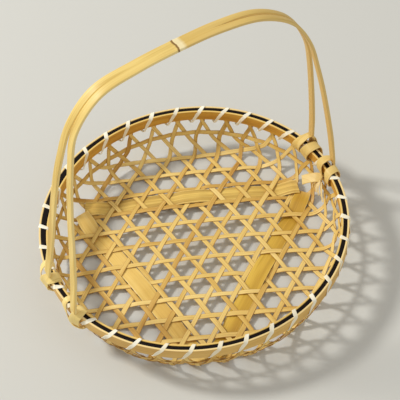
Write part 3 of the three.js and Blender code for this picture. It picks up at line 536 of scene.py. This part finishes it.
def strip_sweep_tree():
    """A flat strip with rounded edges swept along a line that carries its directions and sizes."""
    tree = Shaper("strip sweep", [
        ("Edge Roundness", "NodeSocketFloat", EDGE_ROUND),
        ("Profile Points", "NodeSocketInt", PROFILE),
        ("Material", "NodeSocketMaterial", None),
    ])
    given = tree.input.outputs
    line = tree.out("GeometryNodeMeshToCurve", {0: given["Geometry"]})
    circle = {"Resolution": given["Profile Points"], "Radius": 1.0}
    profile = tree.out("GeometryNodeCurvePrimitiveCircle", circle)
    at = tree.out("GeometryNodeInputPosition")
    half_step = tree.math("DIVIDE", math.pi, given["Profile Points"])
    turned = tree.out("ShaderNodeVectorRotate", {"Vector": at, "Axis": (0, 0, 1), "Angle": half_step})
    apart = tree.node("ShaderNodeSeparateXYZ", {0: turned})
    for axis, name in enumerate(("across_part", "face_part")):
        value = apart.outputs[axis]
        bent = tree.math("POWER", tree.math("ABSOLUTE", value), given["Edge Roundness"])
        profile = tree.keep(profile, name, tree.times(tree.math("SIGN", value), bent))
    swept = {"Curve": line, "Profile Curve": profile, "Fill Caps": True}
    mesh = tree.out("GeometryNodeCurveToMesh", swept)
    across = tree.times(tree.carried("across_part"), tree.times(tree.carried("width"), 0.5))
    up = tree.times(tree.carried("face_part"), tree.times(tree.carried("thick"), 0.5))
    side, face, line_at = (tree.carried(name, "FLOAT_VECTOR") for name in ("side", "face", "line_at"))
    off_line = tree.vector("ADD", tree.scaled(side, across), tree.scaled(face, up))
    spot = tree.vector("ADD", line_at, off_line)
    mesh = tree.out("GeometryNodeSetPosition", {"Geometry": mesh, "Position": spot})
    beside = tree.math("ADD", across, tree.carried("beside"))
    grain = tree.out("ShaderNodeCombineXYZ", {0: tree.carried("along"), 1: beside, 2: up})
    mesh = tree.keep(mesh, "grain_at", grain, "FLOAT_VECTOR")
    for name in ("width", "thick", "line_at", "side", "face", "along", "beside"):
        mesh = tree.out("GeometryNodeRemoveAttribute", {"Geometry": mesh, "Name": name})
    mesh = tree.out("GeometryNodeRealizeInstances", {0: mesh})
    finished = {"Geometry": mesh, "Material": given["Material"]}
    tree.join(tree.out("GeometryNodeSetMaterial", finished), tree.output.inputs[0])
    return tree


def carry(mesh, name, values):
    """Gives each point of a guide line a number or a vector of its own."""
    values = np.asarray(values, dtype=np.float32)
    vectors = values.ndim == 2
    attribute = mesh.attributes.new(name, "FLOAT_VECTOR" if vectors else "FLOAT", "POINT")
    attribute.data.foreach_set("vector" if vectors else "value", values.ravel())


def placed(name, data):
    """A new object in the scene."""
    thing = bpy.data.objects.new(name, data)
    bpy.context.scene.collection.objects.link(thing)
    return thing


def sweep(name, points, side, face, width, thick, material, roundness=EDGE_ROUND, profile=PROFILE,
          start=0.0, tone=None, beside=0.0, luck=None, breaks=()):
    """A finished strip-like mesh from points in millimetres and its directions and sizes."""
    points = np.asarray(points, dtype=float)
    count = len(points)

    def in_metres(values):
        return np.broadcast_to(np.asarray(values, dtype=float) * MM, count)

    edges = [(i, i + 1) for i in range(count - 1) if i + 1 not in breaks]
    mesh = bpy.data.meshes.new(name + "_line")
    mesh.from_pydata((points * MM).tolist(), edges, [])
    guide = {
        "line_at": points * MM, "side": side, "face": face, "width": in_metres(width),
        "thick": in_metres(thick), "along": in_metres(lengths_along(points) + start),
        "tone": np.broadcast_to(rng.uniform(-1, 1) if tone is None else tone, count),
        "luck": np.full(count, rng.uniform(0, LUCK_MOST) if luck is None else luck),
        "beside": in_metres(beside),
    }
    for label, values in guide.items():
        carry(mesh, label, values)
    line = placed(name + "_line", mesh)
    modifier = line.modifiers.new("sweep", "NODES")
    modifier.node_group = SWEEP.tree
    given = {"Edge Roundness": roundness, "Profile Points": profile, "Material": material}
    for label, value in given.items():
        modifier[SWEEP.ids[label]] = value
    graph = bpy.context.evaluated_depsgraph_get()
    swept = bpy.data.meshes.new_from_object(line.evaluated_get(graph))
    bpy.data.objects.remove(line)
    bpy.data.meshes.remove(mesh)
    swept.name = name
    turn_outward(swept)
    swept.shade_smooth()
    swept.set_sharp_from_angle(angle=math.radians(SHARP_ANGLE))
    return placed(name, swept)


def turn_outward(mesh):
    """Turns the faces of a closed mesh outwards, if it is inside out."""
    count = len(mesh.vertices)
    at = np.empty(count * 3)
    mesh.vertices.foreach_get("co", at)
    at = at.reshape(-1, 3)
    mesh.calc_loop_triangles()
    corners = np.empty(len(mesh.loop_triangles) * 3, dtype=np.int32)
    mesh.loop_triangles.foreach_get("vertices", corners)
    a, b, c = (at[corners.reshape(-1, 3)[:, k]] for k in range(3))
    if np.einsum("ij,ij->i", a, np.cross(b, c)).sum() < 0:
        mesh.flip_normals()


# materials
class Finish(Nodes):
    """A material, from the piece's own grain coordinates."""

    def __init__(self, name):
        self.material = bpy.data.materials.new(name)
        self.material.use_nodes = True
        super().__init__(self.material.node_tree)
        self.shader = self.tree.nodes["Principled BSDF"]

    def carried(self, name, output="Fac"):
        return self.node("ShaderNodeAttribute", attribute_name=name).outputs[output]

    def ranged(self, value, low, high, to_low=0.0, to_high=1.0):
        return self.out("ShaderNodeMapRange", {0: value, 1: low, 2: high, 3: to_low, 4: to_high})

    def mix(self, factor, one, two):
        node = self.node("ShaderNodeMix", data_type="RGBA")
        for index, value in ((0, factor), (6, one), (7, two)):
            self.join(value, node.inputs[index])
        return node.outputs[2]

    def noise(self, spread, detail=2.0, rough=0.5, shift=0.0):
        """Noise with the given number of features in each metre, along, across and through."""
        luck = self.times(self.carried("luck"), 1.0 + shift)
        own = self.out("ShaderNodeCombineXYZ", {0: luck, 1: shift, 2: luck})
        at = self.vector("ADD", self.vector("MULTIPLY", self.carried("grain_at", "Vector"), spread), own)
        links = {"Vector": at, "Scale": 1.0, "Detail": detail, "Roughness": rough}
        return self.out("ShaderNodeTexNoise", links)


def linear(rgb):
    """A colour given in steps of 255, as the shader takes it."""
    out = []
    for part in rgb:
        part /= 255
        out.append(part / 12.92 if part <= 0.04045 else ((part + 0.055) / 1.055) ** 2.4)
    return (*out, 1.0)


# split bamboo: features in each metre along, across and through, and where each effect sets in
BROAD_GRAIN, FIBRES_ALONG, LINES_ALONG, LINES_PART = (14, 160, 160), 22, 9, 0.45
TONE_PART, BROAD_PART, GRAIN_RANGE = 0.22, 0.28, (0.3, 0.7)
MIDDLE_FROM, LIGHT_FROM = (-0.55, 0.1), (-0.05, 0.55)
FIBRES_FROM, LINES_FROM = (0.5, 0.72), (0.56, 0.75)
UNDER_FROM, EDGE_SOFT = (0.8, 0.2), 0.06
LINES_HEIGHT, BUMP_DEPTH, COAT_ROUGHNESS = 0.6, 0.00012, 0.3
# the culm's node: places along the handle in metres, from the scar on, and strengths
CULM_GRAIN, CULM_WOBBLE = (0, 260, 0), 0.0006
SCAR_FROM, SCAR_TO, SCAR_PART, SCAR_DEPTH = (-0.0011, -0.0004), (0.0007, 0.0002), 0.9, 3.0
BAND_FROM, BAND_TO, BAND_PART = (0.0002, 0.0008), (0.006, 0.0035), 0.75
BEYOND_FROM, BEYOND_PART = (0.001, 0.004), 0.45
CULM_PALE, CULM_DARK, CULM_BEYOND = (250, 236, 190), (120, 82, 36), (200, 158, 72)


def bamboo(name, light, middle, dark, cut_edge_and_painted_shade, fibre=2600, streak=0.5, rough=(0.42, 0.62), bump=0.3, shine=0.0,
           edge_from=0.9, under=None, culm=False, gloss=0.4):
    """Split bamboo: streaks along the fibres, a tone of its own for each strip, other cut edges, whose
    colour for the woven strips is partly painted shade.
    """
    finish = Finish(name)
    broad = finish.noise(BROAD_GRAIN)
    fibres = finish.noise((FIBRES_ALONG, fibre, fibre), detail=3, rough=0.6, shift=0.37)
    lines = finish.noise((LINES_ALONG, fibre * LINES_PART, fibre * LINES_PART), shift=0.71)
    tone = finish.times(finish.carried("tone"), TONE_PART)
    shade = finish.math("ADD", tone, finish.ranged(broad, *GRAIN_RANGE, -BROAD_PART, BROAD_PART))
    base = finish.mix(finish.ranged(shade, *MIDDLE_FROM), linear(dark), linear(middle))
    base = finish.mix(finish.ranged(shade, *LIGHT_FROM), base, linear(light))
    for grain, reach, colour in ((fibres, FIBRES_FROM, dark), (lines, LINES_FROM, light)):
        part = finish.times(finish.ranged(grain, *reach), streak)
        base = finish.mix(part, base, linear(colour))
    if under:
        base = finish.mix(finish.ranged(finish.carried("face_part"), *UNDER_FROM), base, linear(under))
    # colour along both cut edges: for the woven strips a dark brown that is partly their darker cut edges
    # and partly painted shade where strips cross and touch
    across = finish.math("ABSOLUTE", finish.carried("across_part"))
    base = finish.mix(finish.ranged(across, edge_from, edge_from + EDGE_SOFT), base, linear(cut_edge_and_painted_shade))
    height = finish.math("ADD", fibres, finish.times(lines, LINES_HEIGHT))
    if culm:
        base, height = culm_node(finish, base, height)
    lift = finish.out("ShaderNodeBump", {"Strength": bump, "Distance": BUMP_DEPTH, "Height": height})
    surface = {
        "Base Color": base, "Roughness": finish.ranged(fibres, *GRAIN_RANGE, *rough), "Normal": lift,
        "Coat Weight": shine, "Coat Roughness": COAT_ROUGHNESS, "Specular IOR Level": gloss,
    }
    for socket, source in surface.items():
        finish.join(source, finish.shader.inputs[socket])
    return finish.material


def culm_node(finish, base, height):
    """The bamboo's own node across the handle: a dark scar with a waxy pale band beside it."""
    along = finish.out("ShaderNodeSeparateXYZ", {0: finish.carried("grain_at", "Vector")})
    wobble = finish.ranged(finish.noise(CULM_GRAIN, shift=0.13), *GRAIN_RANGE, -CULM_WOBBLE, CULM_WOBBLE)
    at = finish.math("ADD", along, wobble)

    def between(start, end):
        return finish.times(finish.ranged(at, *start), finish.ranged(at, *end))

    band, scar = between(BAND_FROM, BAND_TO), between(SCAR_FROM, SCAR_TO)
    base = finish.mix(finish.ranged(at, *BEYOND_FROM, 0, BEYOND_PART), base, linear(CULM_BEYOND))
    base = finish.mix(finish.times(band, BAND_PART), base, linear(CULM_PALE))
    base = finish.mix(finish.times(scar, SCAR_PART), base, linear(CULM_DARK))
    return base, finish.math("SUBTRACT", height, finish.times(scar, SCAR_DEPTH))


# colours of the light, middle and dark fibres and of the cut edges, and how each finish differs; the woven
# strips' dark edge colour is partly painted shade
# woven strips: the dark edge colour over a wider edge zone is painted shade along the strips' sides, on top
# of their darker cut edges
WEAVE = bamboo(
    "woven bamboo strip", (248, 218, 138), (230, 192, 100), (182, 128, 46), (162, 108, 36),
    streak=0.55, bump=0.45, edge_from=0.88)
SMOOTH = dict(fibre=3400, streak=0.4, bump=0.35, rough=(0.34, 0.5), shine=0.1)
SLAT = bamboo("bamboo slat", (246, 212, 128), (234, 194, 98), (192, 140, 52), (240, 210, 134), **SMOOTH)
SLAT_GOLD = bamboo(
    "golden bamboo slat", (240, 200, 88), (222, 180, 64), (176, 126, 34), (234, 196, 98), **SMOOTH)
SLAT_ROUGH = bamboo(
    "fibrous bamboo slat", (252, 222, 128), (240, 202, 102), (146, 102, 36), (248, 216, 130),
    fibre=2100, streak=0.65, bump=0.9, rough=(0.5, 0.75))
HOOP_INNER = bamboo("honey bamboo hoop", (226, 176, 70), (206, 148, 46), (160, 102, 26), (238, 198, 108))
HOOP_OUTER = bamboo("tan bamboo hoop", (232, 190, 106), (214, 167, 84), (168, 116, 46), (246, 214, 144))
CANE = bamboo(
    "ivory split cane", (255, 251, 232), (252, 244, 218), (232, 214, 170), (255, 252, 236),
    streak=0.35, rough=(0.34, 0.5), shine=0.1)
HANDLE = bamboo(
    "pale bamboo handle", (254, 226, 148), (230, 197, 108), (184, 140, 60), (250, 226, 152),
    fibre=2200, streak=0.4, rough=(0.4, 0.56), shine=0.05, edge_from=0.955, under=(234, 200, 130),
    culm=True, gloss=0.3)
TIE = bamboo(
    "tied bamboo end", (255, 238, 190), (248, 224, 160), (214, 172, 98), (255, 240, 200),
    fibre=1400, streak=0.4, bump=0.5)
FILLER = bamboo(
    "dark cane filler", (34, 20, 12), (22, 12, 7), (12, 6, 4), (20, 10, 6),
    streak=0.5, rough=(0.6, 0.8), edge_from=0.99, gloss=0.15)

SWEEP = strip_sweep_tree()


def finish_piece(piece, slot, *nodes):
    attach(piece, "root")
    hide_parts(*nodes)


# the weave
strips = [WovenStrip(f, i - (STRIPS_PER_WAY - 1) / 2) for f in range(3) for i in range(STRIPS_PER_WAY)]
ring_crossings, lean_angle = find_crossings(strips)

for index, strip in enumerate(strips):
    points, normals, width = strip_stations(strip)
    side, face = way_frame(points, normals)
    label = f"{'abc'[strip.family]}_{index % STRIPS_PER_WAY + 1:02d}"
    piece = sweep(f"strip_{label}", points, side, face, width, STRIP_THICK, WEAVE, profile=PLAIN_PROFILE)
    finish_piece(piece, "weave", f"weave_{label}")


def build_ring():
    """The encircling strip in the wall, over and under the others in turn."""
    r = float(bowl_at(RHO_RING)[0])
    half = LEVEL_PART * min(level_half(lean_angle, RHO_RING), r * CELL / 4 - SLOPE_LEAST / 2) / r
    start, start_lift = ring_crossings[0]
    stops, lifts = [], []
    for theta, lift in [*ring_crossings, (start + 2 * math.pi, start_lift)]:
        stops += [theta - half, theta + half]
        lifts += [lift, lift]
    theta = np.linspace(start, start + 2 * math.pi, RING_POINTS)
    rho = np.full(RING_POINTS, RHO_RING)
    points = on_bowl(rho, theta, eased(theta, np.array(stops), np.array(lifts)))
    side, face = way_frame(points, bowl_normal(rho, theta))
    piece = sweep("wall_ring", points, side, face, RING_WIDTH, STRIP_THICK, WEAVE, profile=PLAIN_PROFILE)
    finish_piece(piece, "weave", "wall_ring_strip")


build_ring()


# slats
def softened(values, passes):
    """Rounds a row of values off, with its ends left in place."""
    values = values.copy()
    for _ in range(passes):
        values[1:-1] = (values[:-2] + 2 * values[1:-1] + values[2:]) / 4
    return values


def slat_edges(direction):
    """Both edges of a slat: over the middle crossing, under the weave to its feet, over it at the ends."""
    along = np.array([math.sin(direction), -math.cos(direction)])
    across = np.array([math.cos(direction), math.sin(direction)])
    foot_start = FOOT_END - FOOT_LENGTH
    half = [SLAT_OVER, *np.linspace(UNDER_START, foot_start - FOOT_LENGTH, 4), foot_start, FOOT_END,
            END_START, *np.linspace(LAP_START, SLAT_HALF, 3)]
    stops = np.array([-x for x in reversed(half)] + half)
    fine = np.linspace(-SLAT_HALF, SLAT_HALF, SLAT_POINTS)
    edges = []
    for sign in (-1, 1):
        row = []
        for x in stops:
            out = abs(x)
            flat = along * x + across * (SLAT_ROW * ROW + sign * SLAT_WIDTH / 2)
            if foot_start <= out <= FOOT_END:
                row.append([*flat, SLAT_THICK / 2])
                continue
            rho = math.hypot(*flat)
            clear = float(rise_at(rho)) + (MODEL_STRIP_THICK + SLAT_THICK) / 2 + SLAT_GAP
            lift = -clear
            if out <= SLAT_OVER:
                lift = clear - SLAT_SAG
            if out >= END_START:
                lift = clear + (SLAT_THICK + SLAT_LAP_GAP if x >= LAP_START else 0)
            row.append(on_bowl(np.array(rho), np.array(math.atan2(flat[1], flat[0])), lift))
        row = np.array(row, dtype=float)
        edges.append(by_axis(lambda values: softened(np.interp(fine, stops, values), SLAT_SOFTENED), row))
    return edges


def build_slat(name, direction, material):
    low, high = slat_edges(direction)
    points = (low + high) / 2
    side = (high - low) / SLAT_WIDTH
    along = unit(np.gradient(points, axis=0))
    face = unit(np.cross(along, side))
    face *= np.sign(face[:, 2:3])
    width = SLAT_WIDTH - SLAT_SHAVED
    piece = sweep(f"slat_{name}", points, side, face, width, SLAT_THICK, material, SQUARE_ROUND)
    finish_piece(piece, "slat", f"base_slat_{name}")


build_slat("back", SLAT_DIRECTIONS[0], SLAT_ROUGH)
build_slat("left", SLAT_DIRECTIONS[1], SLAT)
build_slat("right", SLAT_DIRECTIONS[2], SLAT_GOLD)


# rim
def degrees_off(theta, direction):
    return np.abs((np.degrees(theta) - direction + 180) % 360 - 180)


def bulge_at(theta):
    """How far the hoops stand off the middle of the rim, beyond the usual, where the slot is wide."""
    return BULGE * (1 - step(0, BULGE_REACH, degrees_off(theta, BULGE_AT)))


def build_hoop(name, node, slot, material, r_in, r_out, z_low, z_high, seam, outward,
               roundness=SQUARE_ROUND):
    """A closed band round the rim. Where the slot is wide it stands further out or in, or is thicker."""
    theta = seam + np.linspace(0, 2 * math.pi, HOOP_POINTS)
    around = np.stack([np.cos(theta), np.sin(theta), 0 * theta], axis=-1)
    middle = (r_in + r_out) / 2 + outward * bulge_at(theta)
    points = around * middle[:, None] + np.array([0, 0, (z_low + z_high) / 2])
    side = np.tile([0.0, 0.0, 1.0], (HOOP_POINTS, 1))
    thick = np.full(HOOP_POINTS, r_out - r_in) + (0 if outward else 2 * bulge_at(theta))
    piece = sweep(name, points, side, around, z_high - z_low, thick, material, roundness)
    finish_piece(piece, slot, node)


build_hoop("hoop_inside", "inner_hoop", "hoop_inner", HOOP_INNER,
           IN_FACE, IN_FACE + HOOP_THICK - HOOP_SHAVED, HOOP_LOW, RIM_TOP, INNER_SEAM, -1)
build_hoop("hoop_outside", "outer_hoop", "hoop_outer", HOOP_OUTER,
           OUT_FACE - HOOP_THICK + HOOP_SHAVED, OUT_FACE, HOOP_LOW, RIM_TOP, OUTER_SEAM, 1)
build_hoop("rim_core", "rim_filler", "filler", FILLER,
           RIM_RADIUS - SLOT / 2 - FILLER_PRESSED, RIM_RADIUS + SLOT / 2 + FILLER_PRESSED,
           FILLER_LOW, RIM_TOP - FILLER_DEEP, FILLER_SEAM, 0, SOFT_ROUND)

FIRST_CROSSING = math.radians(WEAVE_TURN + WAYS_APART / 2 + WALL_TWIST)


def opening_near(direction):
    """The middle of the opening under the rim that is nearest to a direction."""
    return FIRST_CROSSING + CELL * (round((direction - FIRST_CROSSING) / CELL - 0.5) + 0.5)


def rounded(points, normals, widths, thicks, step_length, passes):
    """A line resampled finely with its corners rounded off."""
    points, normals = np.asarray(points, dtype=float), np.asarray(normals, dtype=float)
    lengths = lengths_along(points)
    fine = np.linspace(0, lengths[-1], int(lengths[-1] / step_length) + 1)

    def spread(values):
        return softened(np.interp(fine, lengths, np.asarray(values, dtype=float)), passes)

    return by_axis(spread, points), unit(by_axis(spread, normals)), spread(widths), spread(thicks)


def build_lacing():
    """One long lace wound round both hoops, through every opening under the rim."""
    away = LACE_GAP + LACE_THICK / 2
    points, normals, widths = [], [], []

    def corner(turn, inside, high, place, width):
        opening = opening_near(0) - turn * CELL
        drift = LACE_DRIFT * (1 + math.cos(opening - math.radians(LACE_DRIFT_MOST)))
        for direction, reach, shift in LACE_SHIFTS:
            drift += shift * (1 - step(0, reach, degrees_off(opening, direction)))
        theta = opening + (drift - place + rng.uniform(-LACE_ASTRAY, LACE_ASTRAY)) * CELL
        bulge = float(bulge_at(theta))
        r = IN_FACE - bulge - away if inside else OUT_FACE + bulge + away
        z = RIM_TOP + away if high else HOOP_LOW - away - (LACE_DIP if inside else 0)
        points.append([r * math.cos(theta), r * math.sin(theta), z])
        out = -1 if inside else 1
        normals.append([out * math.cos(theta), out * math.sin(theta), 1 if high else -1])
        widths.append(width)

    for turn in range(WALL_CELLS):
        width = LACE_WIDTH * (1 + rng.uniform(-LACE_UNEVEN, LACE_UNEVEN))
        corner(turn, True, False, LACE_IN_LOW, width * LACE_LOW_PART)
        corner(turn, True, True, LACE_IN_TOP, width)
        corner(turn, False, True, LACE_OUT_TOP, width)
        corner(turn, False, False, LACE_OUT_LOW, width)
    thicks = [LACE_THICK] * len(points)
    at, facing, width, thick = rounded(points, normals, widths, thicks, LACE_STEP, LACE_SOFTENED)
    side, face = way_frame(at, facing)
    piece = sweep("lacing", at, side, face, width, thick, CANE, profile=PLAIN_PROFILE)
    finish_piece(piece, "lacing", "rim_lacing")


build_lacing()


# handle
FOOT_RADIUS = (OUT_FACE + MODEL_LACE_GAP + MODEL_LACE_THICK + MODEL_TIE_GAP + TAIL_THICK / 2
               + MODEL_FOOT_PROUD)


def lashing_angle(lashing, place):
    return opening_near(math.radians(lashing["near"])) + place * CELL


def curve_through(points, count):
    """A smooth curve through points, resampled evenly along its length."""
    points = [np.asarray(p, dtype=float) for p in points]
    points = [2 * points[0] - points[1], *points, 2 * points[-1] - points[-2]]
    rows = []
    for p0, p1, p2, p3 in zip(points, points[1:], points[2:], points[3:]):
        d0, d1, d2 = (math.sqrt(np.linalg.norm(b - a)) for a, b in ((p0, p1), (p1, p2), (p2, p3)))
        t1 = ((p1 - p0) / d0 - (p2 - p0) / (d0 + d1) + (p2 - p1) / d1) * d1
        t2 = ((p2 - p1) / d1 - (p3 - p1) / (d1 + d2) + (p3 - p2) / d2) * d1
        square = 3 * (p2 - p1) - 2 * t1 - t2
        cube = 2 * (p1 - p2) + t1 + t2
        t = np.linspace(0, 1, SPAN_POINTS, endpoint=False)[:, None]
        rows.append(p1 + t1 * t + square * t ** 2 + cube * t ** 3)
    rows.append(points[-2][None])
    path = np.vstack(rows)
    lengths = lengths_along(path)
    fine = np.linspace(0, lengths[-1], count)
    return by_axis(lambda values: np.interp(fine, lengths, values), path), lengths[-1]


def arch_point(side, out, up):
    foot = LASHINGS[side, 1]
    x = side * FOOT_RADIUS * abs(math.cos(lashing_angle(foot, foot["leg"])))
    return [x * out, 0, RIM_TOP + HANDLE_START + (HANDLE_TOP - RIM_TOP - HANDLE_START) * up]


ARCH_KNOTS = [arch_point(-1, *p) for p in LEFT_ARCH] + [arch_point(1, *p) for p in RIGHT_ARCH]
ARCH, ARCH_LENGTH = curve_through(ARCH_KNOTS, ARCH_POINTS)


def round_rim(lashing, place, out, up):
    a = lashing_angle(lashing, place)
    r = RIM_RADIUS + out
    return [r * math.cos(a), r * math.sin(a), RIM_TOP + up]


def lashing_stations(lashing):
    """The thinned end of a leg, from the rim's top on: its face turns with it round the rim."""
    rows = []
    path = lashing["path"]
    flat_from = len(path) - lashing.get("flat_end", 0)
    for index, (place, out, up, width, *lean) in enumerate(path):
        a = lashing_angle(lashing, place)
        nr, nz = out, up + HOOP_HEIGHT / 2
        if index == 0:
            nr, nz = 1, 0       # the leg still stands upright here
        if index >= flat_from:
            nr, nz = FLAT_END_FACE
        left = math.hypot(nr, nz) * math.tan(math.radians(lean[0] if lean else 0))
        normal = [nr * math.cos(a) - left * math.sin(a), nr * math.sin(a) + left * math.cos(a), nz]
        thick = TAIL_THICK + (LEG_FOOT_THICK - TAIL_THICK) * (0.5 if index == 0 else 0)
        rows.append((round_rim(lashing, place, out, up), normal, width, thick))
    return rows


def foot_y(lashing):
    """How far a leg stands from the handle's middle plane, at its foot."""
    return FOOT_RADIUS * abs(math.sin(lashing_angle(lashing, lashing["leg"])))


def build_handle_half(name, back):
    """Half of the split strip with both of its legs and their wound ends."""
    left, right = LASHINGS[-1, back], LASHINGS[1, back]
    u = np.linspace(0, 1, len(ARCH))
    slit = HALF_SLIT * (1 - step(*LEFT_SLIT, u) + step(*RIGHT_SLIT, u))
    left_part = np.clip(1 - u / LEFT_SPREAD, 0, None) ** LEG_CURVE
    right_part = np.clip((u - RIGHT_SPREAD) / (1 - RIGHT_SPREAD), 0, None) ** LEG_CURVE
    middle = HALF_BAND + slit
    v = middle + (foot_y(left) - middle) * left_part + (foot_y(right) - middle) * right_part
    v = softened(v, SPREAD_SOFTENED)
    wide = LEG_WIDTH + (RIGHT_LEG_WIDTH - LEG_WIDTH) * step(*RIGHT_SLIT, u)
    wide = wide + LEFT_LEG_EXTRA * left_part + RIGHT_LEG_EXTRA * right_part
    ridge = CULM_RIDGE * np.exp(-((u - CULM_AT) * ARCH_LENGTH / CULM_REACH) ** 2)
    above_foot = step(0, FOOT_THINNED, np.minimum(u, 1 - u))
    thick = LEG_FOOT_THICK + (LEG_THICK - LEG_FOOT_THICK) * above_foot + ridge
    along = unit(np.gradient(ARCH, axis=0))
    out = np.stack([-along[:, 2], 0 * v, along[:, 0]], axis=-1)
    arch = ARCH + np.stack([0 * v, back * v, 0 * v], axis=-1) + out * ridge[:, None] / 2
    every = slice(None, None, HANDLE_EVERY)
    between = zip(arch[every].tolist(), out[every].tolist(), wide[every], thick[every])
    rows = [*reversed(lashing_stations(left)), *between, *lashing_stations(right)]
    at, facing, width, thickness = rounded(*zip(*rows), HANDLE_STEP, HANDLE_SOFTENED)
    side, face = way_frame(at, facing)
    culm = ARCH[round(CULM_AT * (len(ARCH) - 1))]
    from_culm = np.linalg.norm((at - culm)[:, (0, 2)], axis=1)
    nearest = np.argmin(np.where(at[:, 2] < HANDLE_TOP / 2, np.inf, from_culm))
    tone = HANDLE_TONE + TIED_TONE * (at[:, 2] < RIM_TOP + HANDLE_START)
    piece = sweep(name, at, side, face, width, thickness, HANDLE, SOFT_ROUND,
                  start=-lengths_along(at)[nearest], tone=tone, luck=HANDLE_LUCK,
                  beside=at[:, 1] * np.sign(side[nearest, 1]))
    finish_piece(piece, "handle", "handle")


def build_fibres():
    """Torn fibres that hang from the loose end of the right front leg."""
    lashing = LASHINGS[1, -1]
    points, normals, widths, breaks = [], [], [], []
    for strand in range(FIBRE_COUNT):
        spread = strand / (FIBRE_COUNT - 1)
        top = [first + change * spread for first, change in zip(FIBRE_TOP, FIBRE_TOP_CHANGE)]
        top[1] -= rng.uniform(*FIBRE_OUT_LUCK)
        top[2] += rng.uniform(*FIBRE_LUCK)
        tip = [first + change * spread for first, change in zip(FIBRE_TIP, FIBRE_TIP_CHANGE)]
        tip[0] += rng.uniform(*FIBRE_PLACE_LUCK)
        tip[1] += rng.uniform(*FIBRE_LUCK)
        tip[2] += rng.uniform(*FIBRE_TIP_LUCK)
        bow = rng.uniform(*FIBRE_BOW)
        wide = rng.choice(FIBRE_WIDTHS)
        breaks.append(len(points))
        for t in np.linspace(0, 1, FIBRE_POINTS):
            place, out, up = (a + (b - a) * t for a, b in zip(top, tip))
            points.append(round_rim(lashing, place, out - bow * math.sin(math.pi * t), up))
            a = lashing_angle(lashing, place)
            normals.append([-math.cos(a), -math.sin(a), 0.5 + 0.4 * spread])
            widths.append(wide * (1 - FIBRE_TAPER * t))
    points, normals = np.array(points), unit(np.array(normals))
    side, face = np.zeros_like(points), np.zeros_like(points)
    for first, last in zip(breaks, breaks[1:] + [len(points)]):
        side[first:last], face[first:last] = way_frame(points[first:last], normals[first:last])
    piece = sweep("frayed_fibres", points, side, face, widths, FIBRE_THICK, TIE, FIBRE_ROUND,
                  FIBRE_PROFILE, breaks=breaks)
    finish_piece(piece, "handle", "handle")


build_handle_half("handle_half_back", 1)
build_handle_half("handle_half_front", -1)
build_fibres()

# camera at the photograph's angle
CAMERA_AT = (-302.063, -598.296, 883.94)
CAMERA_RIGHT = (0.84562142, -0.52950927, -0.06741184)
CAMERA_UP = (0.44882859, 0.63698481, 0.62674018)
CAMERA_BACK = (-0.28892442, -0.56024128, 0.77630689)
CAMERA_LENS, CAMERA_SENSOR, CAMERA_SIGHT = 144, 36, 20


def build_camera():
    data = bpy.data.cameras.new("photo camera")
    data.lens = CAMERA_LENS
    data.sensor_width = CAMERA_SENSOR
    data.clip_end = CAMERA_SIGHT
    camera = placed("photo camera", data)
    turn = Matrix((CAMERA_RIGHT, CAMERA_UP, CAMERA_BACK)).transposed()
    camera.matrix_world = Matrix.Translation(Vector(CAMERA_AT) * MM) @ turn.to_4x4()
    bpy.context.scene.camera = camera


def area_light(name, at, aim, size, power):
    data = bpy.data.lights.new(name, "AREA")
    data.shape = "DISK"
    data.size = size
    data.energy = power
    light = placed(name, data)
    light.location = at
    light.rotation_euler = (Vector(aim) - Vector(at)).to_track_quat("-Z", "Y").to_euler()


FLOOR_COLOUR, FLOOR_ROUGHNESS, FLOOR_REACH = (208, 206, 197), 0.9, 3.0
WORLD_STRENGTH = 0.57


def build_floor():
    mesh = bpy.data.meshes.new("floor")
    corners = [(x * FLOOR_REACH, y * FLOOR_REACH, 0) for x, y in ((-1, -1), (1, -1), (1, 1), (-1, 1))]
    mesh.from_pydata(corners, [], [(0, 1, 2, 3)])
    floor = placed("floor", mesh)
    material = bpy.data.materials.new("pale floor")
    material.use_nodes = True
    shader = material.node_tree.nodes["Principled BSDF"]
    shader.inputs["Base Color"].default_value = linear(FLOOR_COLOUR)
    shader.inputs["Roughness"].default_value = FLOOR_ROUGHNESS
    mesh.materials.append(material)


def build_world():
    world = bpy.data.worlds.new("studio")
    world.use_nodes = True
    background = world.node_tree.nodes["Background"]
    background.inputs["Color"].default_value = (1, 1, 1, 1)
    background.inputs["Strength"].default_value = WORLD_STRENGTH
    bpy.context.scene.world = world


build_camera()
build_floor()
build_world()
area_light("key", at=(-0.97, 1.08, 1.43), aim=(0, 0, 0.03), size=0.36, power=25.5)
area_light("fill", at=(0.4, -1.0, 1.0), aim=(0, 0, 0.05), size=0.9, power=1.2)
bpy.context.scene.view_settings.view_transform = "Standard"
